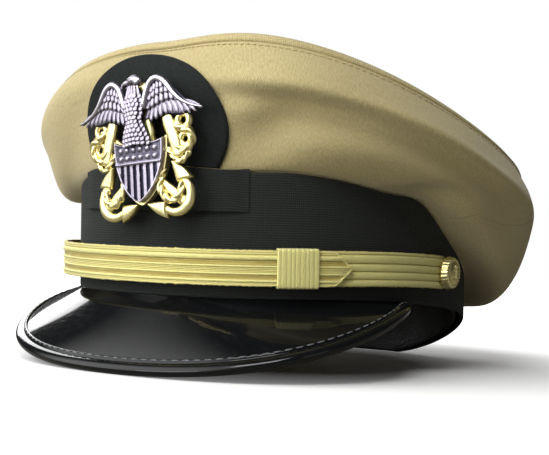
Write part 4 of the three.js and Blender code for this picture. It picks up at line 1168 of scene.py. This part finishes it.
# Rows of a wing's feathers: curve of the roots, curve of the tips, number, half width, rise,
# level, lift from root to tip, and sideways bow.
WING_ROWS = [
    ([(6.5, 15.5), (9.5, 17.0), (13.0, 18.6), (16.5, 20.0), (19.5, 20.0), (23.0, 17.4)],
     [(4.4, 10.6), (7.5, 9.8), (12.0, 11.0), (17.5, 12.0), (23.0, 11.4), (28.5, 11.2),
      (32.8, 12.6)], 11, np.linspace(1.0, 0.95, 11), 0.8, 0.4, 0.3, 0.07),
    ([(7.6, 19.5), (10.2, 22.4), (13.6, 23.6), (16.8, 22.8), (19.2, 20.8)],
     [(6.0, 14.8), (9.4, 15.6), (13.2, 16.8), (17.4, 17.6), (22.0, 17.2)],
     7, 1.22, 0.85, 1.1, 0.35, 0.06),
    ([(8.3, 22.4), (10.6, 25.0), (13.4, 25.7), (16.0, 24.4)],
     [(7.4, 18.4), (10.2, 19.6), (13.4, 20.5), (16.9, 20.8)], 5, 1.15, 0.75, 1.7, 0.25, 0.06),
    ([(9.4, 24.6), (11.4, 26.4), (13.8, 26.6)],
     [(9.0, 21.6), (11.6, 22.8), (14.4, 23.2)], 4, 0.95, 0.6, 2.1, 0.15, 0.06),
]


def wing_parts():
    """One wing: long feathers below, two rows of coverts over their roots, small scales at the
    shoulder, a rolled leading edge on top of all and a thin web behind."""
    shells = [fan(resample(roots, count), resample(tips, count), bow, half_width, rise,
                  SILVER_LEVEL + level, lift)
              for roots, tips, count, half_width, rise, level, lift, bow in WING_ROWS]
    t = np.linspace(0, 1, 60)
    width = (1.45 - 1.0 * smooth((t - 0.45) / 0.55)) * arc(t / 0.05) * arc((1 - t) / 0.04)
    level = SILVER_LEVEL + 1.5 + 0.5 * smooth((0.8 - t) / 0.8)
    # The leading edge's floor of 0.3 lifts it into the silver's painted highlight.
    shells.append(bar(resample(LEADING_EDGE, 60), width, width * 1.3, level, floor=0.3))
    t = np.linspace(0, 1, 24)
    width = (1.8 + 5.2 * np.sin(np.pi * t**0.75)) * np.sqrt(np.clip((1 - t) / 0.15, 0.02, 1))
    shells.append(bar(curve(WING_WEB, 24), width, 0.5, SILVER_LEVEL + 0.3, 3.0, -0.7))
    return shells


def shield_point(s, t):
    """Place on the shield: t runs down its height, s across between its two curved sides."""
    top = 3.0 - 1.6 * np.abs(np.sin(np.pi * s)) * (1 - t) ** 6 * (np.abs(s) < 1)
    y = top + (-23.9 - top) * t
    width = 13.4 * (1 - t**2.5) ** 0.74
    return s * width, y, width


def shield():
    """Shield: a raised rim, a chief with two rows of small bosses over a bar, and upright
    stripes that are alternately raised and sunk."""
    s = np.linspace(-1, 1, 137)[:, None]
    t = np.linspace(0, SHIELD_END, 110)
    x, y, width = shield_point(s, t)
    edge = np.minimum((1 - np.abs(s)) * width, 27 * t + 0 * s)
    rim = 0.55 * smooth((1.5 - edge) / 0.5)
    swell = 0.9 * (1 - (x / 14.0) ** 2)
    bar_rise = 0.5 * ridge(y - CHIEF_FOOT, 0.55)
    raised = smooth((np.cos(2 * np.pi * x / STRIPE_PITCH) + 0.2) / 0.4)
    below = smooth((CHIEF_FOOT - 0.6 - y) / 0.3) * smooth((edge - 1.0) / 0.4)
    stripe = 0.85 * (1 - raised) * below
    column = np.abs(((x / BOSS_PITCH) % 1) - 0.5) * BOSS_PITCH
    row = np.minimum(np.abs(y + 1.2), np.abs(y + 4.7))
    boss = 0.85 * arc(1 - (column**2 + row**2) / BOSS_RADIUS**2) * (edge > 1.6)
    height = 0.9 + swell + rim + bar_rise + boss - stripe
    height = height * arc(edge / SHIELD_ROUNDING)
    # The raised rim and bosses reach the silver's painted highlight; the sunk stripes take its dark
    # oxide.
    crest = 0.5 + rim + bar_rise + boss * 1.1 - stripe * 1.5 - 0.38 * (y > CHIEF_FOOT)
    return closed_plate(stack(x, y, SILVER_LEVEL + height), stack(x, y, SILVER_LEVEL),
                        np.clip(crest, 0, 1))


def scale_rows(rows):
    """Overlapping scales in staggered rows down the eagle's body. Each row gives its height,
    half width, number and bulge."""
    roots, tips, widths, levels = [], [], [], []
    for k, (y, half, count, bulge) in enumerate(rows):
        x = np.linspace(-1, 1, count) * half * (1 - 0.5 / count)
        x = x + 0.18 * np.sin(2.1 * k + 3 * x)
        roots.append(np.stack([x * 0.92, y + 1.6 - 0.05 * np.abs(x)], -1))
        tips.append(np.stack([x * 1.04, y - 1.2 - 0.1 * np.abs(x)], -1))
        widths.append(np.full(count, 1.18 * half / max(count - 1, 1)))
        levels.append(SILVER_LEVEL + bulge * np.sqrt(1 - (x / (half + 1.2)) ** 2) + 0.02 * k)
    return fan(np.concatenate(roots), np.concatenate(tips), 0.0, np.concatenate(widths), 0.7,
               np.concatenate(levels), 0.3, 0.2)


def dome_bar(points, widths, bulks, levels, count, power=2.2, floor=0.0):
    """Bar along a curve whose half width, rise and level are read from short tables."""
    end = rounded(count, 2 / (count - 1))
    return bar(curve(points, count), spread(widths, count) * end, spread(bulks, count) * end,
               SILVER_LEVEL + spread(levels, count), power, floor)


EAGLE_BODY = ([(0.0, 0.6), (0.0, 5.0), (0.0, 10.0), (0.0, 15.0), (0.2, 20.0), (0.0, 26.0)],
              [6.6, 5.6, 3.2, 4.2, 3.9, 2.6], [3.2, 4.0, 4.0, 4.0, 3.5, 2.7],
              [0.3, 0.4, 0.4, 0.3, 0.2, 0.2], 40, 2.2, -0.5)
# Rows of scales from the tail up: height, half width, number and bulge.
EAGLE_SCALES = [
    (1.6, 6.8, 7, 3.3), (3.2, 6.6, 7, 3.7), (5.0, 6.0, 7, 4.0), (6.8, 5.2, 6, 4.2),
    (8.6, 4.3, 5, 4.2), (10.4, 3.7, 5, 4.1), (12.2, 3.8, 4, 4.1), (14.0, 4.2, 5, 4.1),
    (15.8, 4.6, 5, 4.1), (17.6, 4.7, 6, 4.0), (19.4, 4.3, 5, 3.8), (21.2, 3.6, 4, 3.6),
]
# Skull, upper beak, lower beak, eye and brow: curve, half widths, rises, levels, number of
# sections, squareness and how far its colour is lifted towards the silver's painted highlight.
EAGLE_HEAD = [
    ([(3.0, 26.0), (1.6, 28.2), (-0.9, 28.5), (-3.2, 27.2)],
     [2.4, 2.3, 2.0, 1.4], [2.6, 2.5, 2.2, 1.6], [1.4], 18, 2.0, 0.15),
    ([(-2.4, 27.6), (-4.6, 27.5), (-6.3, 26.6), (-6.6, 24.8)],
     [1.3, 1.15, 0.8, 0.3], [1.7, 1.5, 1.0, 0.4], [1.6], 16, 2.0, 0.2),
    ([(-2.0, 25.8), (-3.6, 25.5), (-5.0, 25.2)], [0.7, 0.6, 0.35], [1.2, 1.0, 0.6], [1.3], 10),
    ([(-1.3, 28.0), (-2.0, 28.0)], [0.5], [0.6], [3.2], 8),
    ([(0.8, 29.3), (-1.3, 29.2), (-3.2, 28.3)], [0.4], [0.7], [3.0, 3.1, 2.6], 10, 2.0, 0.3),
]


def eagle_parts():
    """The eagle: the body as a thick bar with scales over it, neck feathers, the head turned to
    one side with a hooked beak, and the two wings."""
    across = np.linspace(-1, 1, 5)
    neck_roots = np.stack([2.2 * across, np.full(5, 26.2)], -1)
    neck_tips = np.stack([3.3 * across + 0.1, np.full(5, 20.8)], -1)
    neck_level = SILVER_LEVEL + 2.7 + 0.6 * np.array([0, 0.8, 1, 0.8, 0])
    shells = [dome_bar(*EAGLE_BODY), scale_rows(EAGLE_SCALES),
              fan(neck_roots, neck_tips, 0.0, 0.85, 0.5, neck_level, 0.5, 0.15)]
    shells += [dome_bar(*row) for row in EAGLE_HEAD]
    for points, crest in wing_parts():
        shells += [(points, crest), (mirrored(points), crest)]
    return shells + [shield()]


def badge_eagle():
    """Silver layer of the badge: the eagle on its shield."""
    shells = [(place_badge(points), None, crest) for points, crest in eagle_parts()]
    mesh_object("badge_eagle", shells, SILVER, BADGE_SHARP)


# The anchor whose crown lies low on the wearer's left and whose ring is high on the right.
ANCHOR_CROWN = np.array([22.3, -26.3])
ANCHOR_RING = np.array([-22.4, 8.9])
ANCHOR_AXIS = unit(ANCHOR_RING - ANCHOR_CROWN)
ANCHOR_SIDE = np.array([-ANCHOR_AXIS[1], ANCHOR_AXIS[0]])
ARM_RADIUS = 7.2
ANCHOR_LEVEL = BADGE_STAND + 1.3


def on_anchor(along, across):
    """Point at a distance up the shank from the anchor's crown and to its side."""
    return ANCHOR_CROWN + ANCHOR_AXIS * along + ANCHOR_SIDE * across


def outline_plate(left, right, level, height):
    """Plate between two rails: a low dome across it, thin at its edges. Rails are (U, 2)."""
    s = np.linspace(0, 1, 24)
    flat = left[:, None] * (1 - s[:, None]) + right[:, None] * s[:, None]
    rise = arc(1 - (2 * s - 1) ** 2) ** 0.6 * rounded(len(left), 0.08)[:, None]
    front = np.concatenate([flat, (level + height * rise)[..., None]], -1)
    back = np.concatenate([flat, (level - 1.2 + 0 * rise)[..., None]], -1)
    # Painted shade: the palm's colour darkens towards its thin edges.
    return closed_plate(front, back, 0.3 + 0.7 * rise)


def twisted(route, radius, lay, levels, count):
    """Rope: a round section with three lobes that turn steadily along the path."""
    path = resample(route, count)
    run = along_path(path)
    tangent = unit(np.gradient(path, axis=0))
    side = np.stack([-tangent[:, 1], tangent[:, 0], 0 * run], -1)
    turn = np.linspace(0, 2 * np.pi, 19)
    swell = 1 + 0.2 * np.cos(3 * turn - (2 * np.pi * run / lay)[:, None])
    end = arc(np.minimum(run, run[-1] - run) / radius)[:, None]
    r = radius * swell * end
    core = np.concatenate([path, (BADGE_STAND + spread(levels, count))[:, None]], -1)[:, None]
    points = (core + side[:, None] * (r * np.cos(turn))[..., None]
              + UPWARD * (r * np.sin(turn))[..., None])
    # Painted shade: the rope is darker between its strands and brighter on their lobes.
    return points, np.clip(0.25 + (swell - 0.8) / 0.4, 0, 1)


def gilt_bar(points, widths, height, lift, count, power, ends):
    """Bar of the anchor along a curve, its half width read from a short table."""
    width = spread(widths, count) * rounded(count, ends)
    return bar(curve(points, count), width, width * height, ANCHOR_LEVEL + lift, power, 0.15)


# Rope down the stock, its tail, and the coil over the anchor's crown: path, radius, length of
# one turn, levels and number of sections.
ANCHOR_ROPES = [
    ([(-19.0, 9.0), (-22.0, 5.6), (-26.0, 4.2), (-26.6, -0.6), (-23.4, -3.6), (-20.0, -2.4),
      (-19.2, 1.4)], 1.55, 4.8, [3.4, 4.0, 3.4, 3.0, 3.2], 110),
    ([(-25.6, -3.4), (-23.4, -6.4), (-20.2, -8.2), (-16.6, -5.2), (-13.8, -1.6)],
     1.15, 3.8, [2.6, 3.2, 2.6], 70),
    ([(12.0, -9.5), (10.0, -14.5), (10.3, -19.0), (13.4, -23.2), (17.6, -23.6), (20.2, -20.4),
      (20.0, -15.6)], 1.5, 4.6, [1.6, 2.6, 3.7, 3.4, 3.0, 2.2], 120),
]
ANCHOR_STOCK = [(-14.6, 12.2), (-16.0, 7.3), (-18.3, 0.6), (-20.0, -7.0)]


def anchor_parts():
    """One anchor: shank, broad stock, two rings, crescent arms with pointed palms, and the
    ropes."""
    span = np.linalg.norm(ANCHOR_RING - ANCHOR_CROWN)
    shank = [on_anchor(along, 0) for along in (-0.5, span * 0.5, span - 2)]
    shells = [gilt_bar(shank, [2.5, 2.1, 2.2], 0.75, -0.3, 34, 2.6, 0.03),
              gilt_bar(ANCHOR_STOCK, [2.5, 2.9, 2.9, 2.5], 0.6, 1.3, 30, 3.0, 0.05)]
    turn = np.linspace(0, 2 * np.pi, 37)
    circle = np.stack([np.cos(turn), np.sin(turn)], -1)
    for centre, radius, tube in [(ANCHOR_RING, 2.75, 1.5), ((-23.1, 0.9), 2.5, 1.45)]:
        shells.append(bar(centre + radius * circle, tube, tube * 1.1, ANCHOR_LEVEL + 0.6,
                          floor=0.15))
    arms = [on_anchor(ARM_RADIUS * (1 - np.cos(bow)), ARM_RADIUS * np.sin(bow))
            for bow in np.linspace(-1.75, 1.75, 9)]
    shells.append(gilt_bar(arms, [1.5, 1.8, 2.0, 2.2, 2.4, 2.2, 2.0, 1.8, 1.5], 0.9, 0.1, 50,
                           2.2, 0.03))
    for sign in (-1, 1):
        tip, outer, inner = (on_anchor(along, sign * across)
                             for along, across in [(17.0, 11.0), (4.4, 10.4), (9.3, 4.7)])
        left = resample([tip, (tip + outer) / 2 + ANCHOR_SIDE * sign * 1.0, outer], 22)
        right = resample([tip, (tip + inner) / 2 - ANCHOR_SIDE * sign * 0.3, inner], 22)
        shells.append(outline_plate(left, right, ANCHOR_LEVEL + 0.5, 1.7))
    return shells + [twisted(*rope) for rope in ANCHOR_ROPES]


def backing():
    """Gilt backing: a deep shield that shows round the silver one, and a plain plate behind
    the body and neck."""
    x, y, _ = shield_point(np.linspace(-1, 1, 81)[:, None], np.linspace(0, SHIELD_END, 60))
    front = stack(x * 1.07, y * 1.06 + 0.3, BADGE_STAND + SHIELD_BACKING)
    deep = closed_plate(front, front - UPWARD * SHIELD_BACKING, 0.5 + 0 * x)
    body = curve([(0.6, -2.0), (0.6, 6.0), (0.6, 12.0), (0.8, 18.0), (1.0, 23.0), (1.0, 28.0)], 30)
    end = rounded(30, 2 / 29)
    width = spread([7.0, 7.2, 5.6, 5.2, 4.6, 3.8], 30) * end
    return [deep, bar(body, width, 2.4 * end, BADGE_STAND + 2.0, 6.0, 0.1)]


def badge_anchors():
    """Gilt layer of the badge: an anchor, its mirror image, and the backing."""
    shells = []
    for points, crest in anchor_parts():
        shells += [(place_badge(made), None, np.clip(crest, 0, 1))
                   for made in (points, mirrored(points))]
    shells += [(place_badge(points), None, crest) for points, crest in backing()]
    mesh_object("badge_anchors", shells, GILT, BADGE_SHARP)


for make in (cap_band, band_overlay, sweatband, crown_sides, crown_top, topstitch, badge_patch,
             peak, peak_binding, binding_stitches, chin_strap, strap_slide):
    make()
strap_button("strap_button_left", BUTTON_ANGLE)
strap_button("strap_button_right", -BUTTON_ANGLE)
badge_anchors()
badge_eagle()

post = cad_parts["badge_post"]
post.data.materials.clear()
post.data.materials.append(GILT)

# ---------------------------------------------------------------- studio

def floor():
    """Wide pale disc under the cap, with the faintest mottling, and a painted white glow, seen only
    by the camera, that grows away from the cap. Light that bounces off it comes from a dark grey
    colour, not the pale one the camera sees."""
    f = Finish("studio_floor", Specular_IOR_Level=0.1)
    mottle = f.noise(f.object, 0.4, 2.0)
    seen = f.add("LightPath").outputs["Is Camera Ray"]
    pale = f.blend(mottle, rgb(0.90, 0.90, 0.90), rgb(0.93, 0.93, 0.93))
    radius = f.add("VectorMath", {0: f.object}, operation="LENGTH").outputs["Value"]
    # Painted glow: for the camera the floor emits white, rising with distance from the cap.
    f.feed(f.shader.inputs["Emission Color"], rgb(1, 1, 1))
    f.feed(f.shader.inputs["Emission Strength"],
           f.math("MULTIPLY", f.level(radius, 0.07, 0.42), seen))
    turn = np.linspace(0, 2 * np.pi, 128, endpoint=False)
    points = stack(FLOOR_RADIUS * np.cos(turn), FLOOR_RADIUS * np.sin(turn), cad_box[0][2])
    mesh = bpy.data.meshes.new("floor")
    mesh.from_pydata(points.tolist(), [], [list(range(len(turn)))])
    mesh.materials.append(f.done(f.blend(seen, rgb(0.27, 0.26, 0.23), pale), 0.95))
    disc = bpy.data.objects.new("floor", mesh)
    bpy.context.scene.collection.objects.link(disc)


def softbox(name, place, size, power):
    """Rectangular area light at a place, turned to the middle of the cap."""
    lamp = bpy.data.lights.new(name, "AREA")
    lamp.shape = "RECTANGLE"
    lamp.size, lamp.size_y = size
    lamp.energy = power
    box = bpy.data.objects.new(name, lamp)
    box.location = place
    aim = Vector((0, 0, 0.08)) - Vector(place)
    box.rotation_euler = aim.to_track_quat("-Z", "Y").to_euler()
    bpy.context.scene.collection.objects.link(box)


def studio():
    """White surround for the view. The light on the cap comes from a broad soft glow high on
    its right front, which fades away from its middle, with a little fill all round."""
    world = bpy.data.worlds.new("studio")
    world.use_nodes = True
    tree = world.node_tree
    def add(kind, **inputs):
        # A node of the world with its inputs set.
        made = tree.nodes.new("ShaderNode" + kind)
        for key, value in inputs.items():
            made.inputs[key.replace("_", " ")].default_value = value
        return made
    room = tree.nodes["Background"]
    room.inputs["Color"].default_value = rgb(1, 1, 1)
    towards = unit(np.array([-0.5, -0.80, 0.40]))
    facing = add("VectorMath")
    facing.operation = "DOT_PRODUCT"
    facing.inputs[1].default_value = towards.tolist()
    tree.links.new(add("TexCoord").outputs["Generated"], facing.inputs[0])
    glow = add("MapRange", From_Min=0.6, From_Max=0.95, To_Min=0.045, To_Max=3.1)
    glow.interpolation_type = "SMOOTHSTEP"
    tree.links.new(facing.outputs["Value"], glow.inputs["Value"])
    tree.links.new(glow.outputs[0], room.inputs["Strength"])
    surround = add("Background", Color=rgb(1, 1, 1), Strength=1.0)
    mix = add("MixShader")
    tree.links.new(add("LightPath").outputs["Is Camera Ray"], mix.inputs[0])
    tree.links.new(room.outputs[0], mix.inputs[1])
    tree.links.new(surround.outputs[0], mix.inputs[2])
    tree.links.new(mix.outputs[0], tree.nodes["World Output"].inputs["Surface"])
    bpy.context.scene.world = world
    softbox("above", (0.5, -1.15, 1.5), (0.7, 0.7), 13.5)
    softbox("left", (-1.3, 0.8, 0.8), (0.9, 0.9), 12)
    softbox("right", (1.4, -0.6, 0.35), (0.5, 0.5), 0.6)
    softbox("front_low", (-0.25, -1.6, 0.14), (0.8, 0.3), 3)


def camera():
    """Camera set by its angle round the band, its height and its distance in the band's frame,
    then settled with the cap."""
    azimuth, elevation, roll = np.radians([33.2, 1.18, 1.03])
    distance = 640.0
    back = np.array([np.sin(azimuth) * np.cos(elevation), -np.cos(azimuth) * np.cos(elevation),
                     np.sin(elevation)])
    right = np.array([np.cos(azimuth), np.sin(azimuth), 0])
    up = np.cross(back, right)
    aim = right * -2 + np.array([0, 0, 14.8])
    axes = [right * np.cos(roll) + up * np.sin(roll),
            up * np.cos(roll) - right * np.sin(roll), back]
    origin = settle(np.zeros(3))
    turned = [(settle(axis) - origin) / MM for axis in axes]
    made = bpy.data.cameras.new("camera")
    made.sensor_width = 36.0
    made.lens = 83.8033
    holder = bpy.data.objects.new("camera", made)
    matrix = Matrix(np.array(turned).T.tolist()).to_4x4()
    matrix.translation = Vector(settle(aim + back * distance))
    holder.matrix_world = matrix
    bpy.context.scene.collection.objects.link(holder)
    bpy.context.scene.camera = holder


floor()
studio()
camera()
bpy.context.scene.view_settings.view_transform = "Standard"
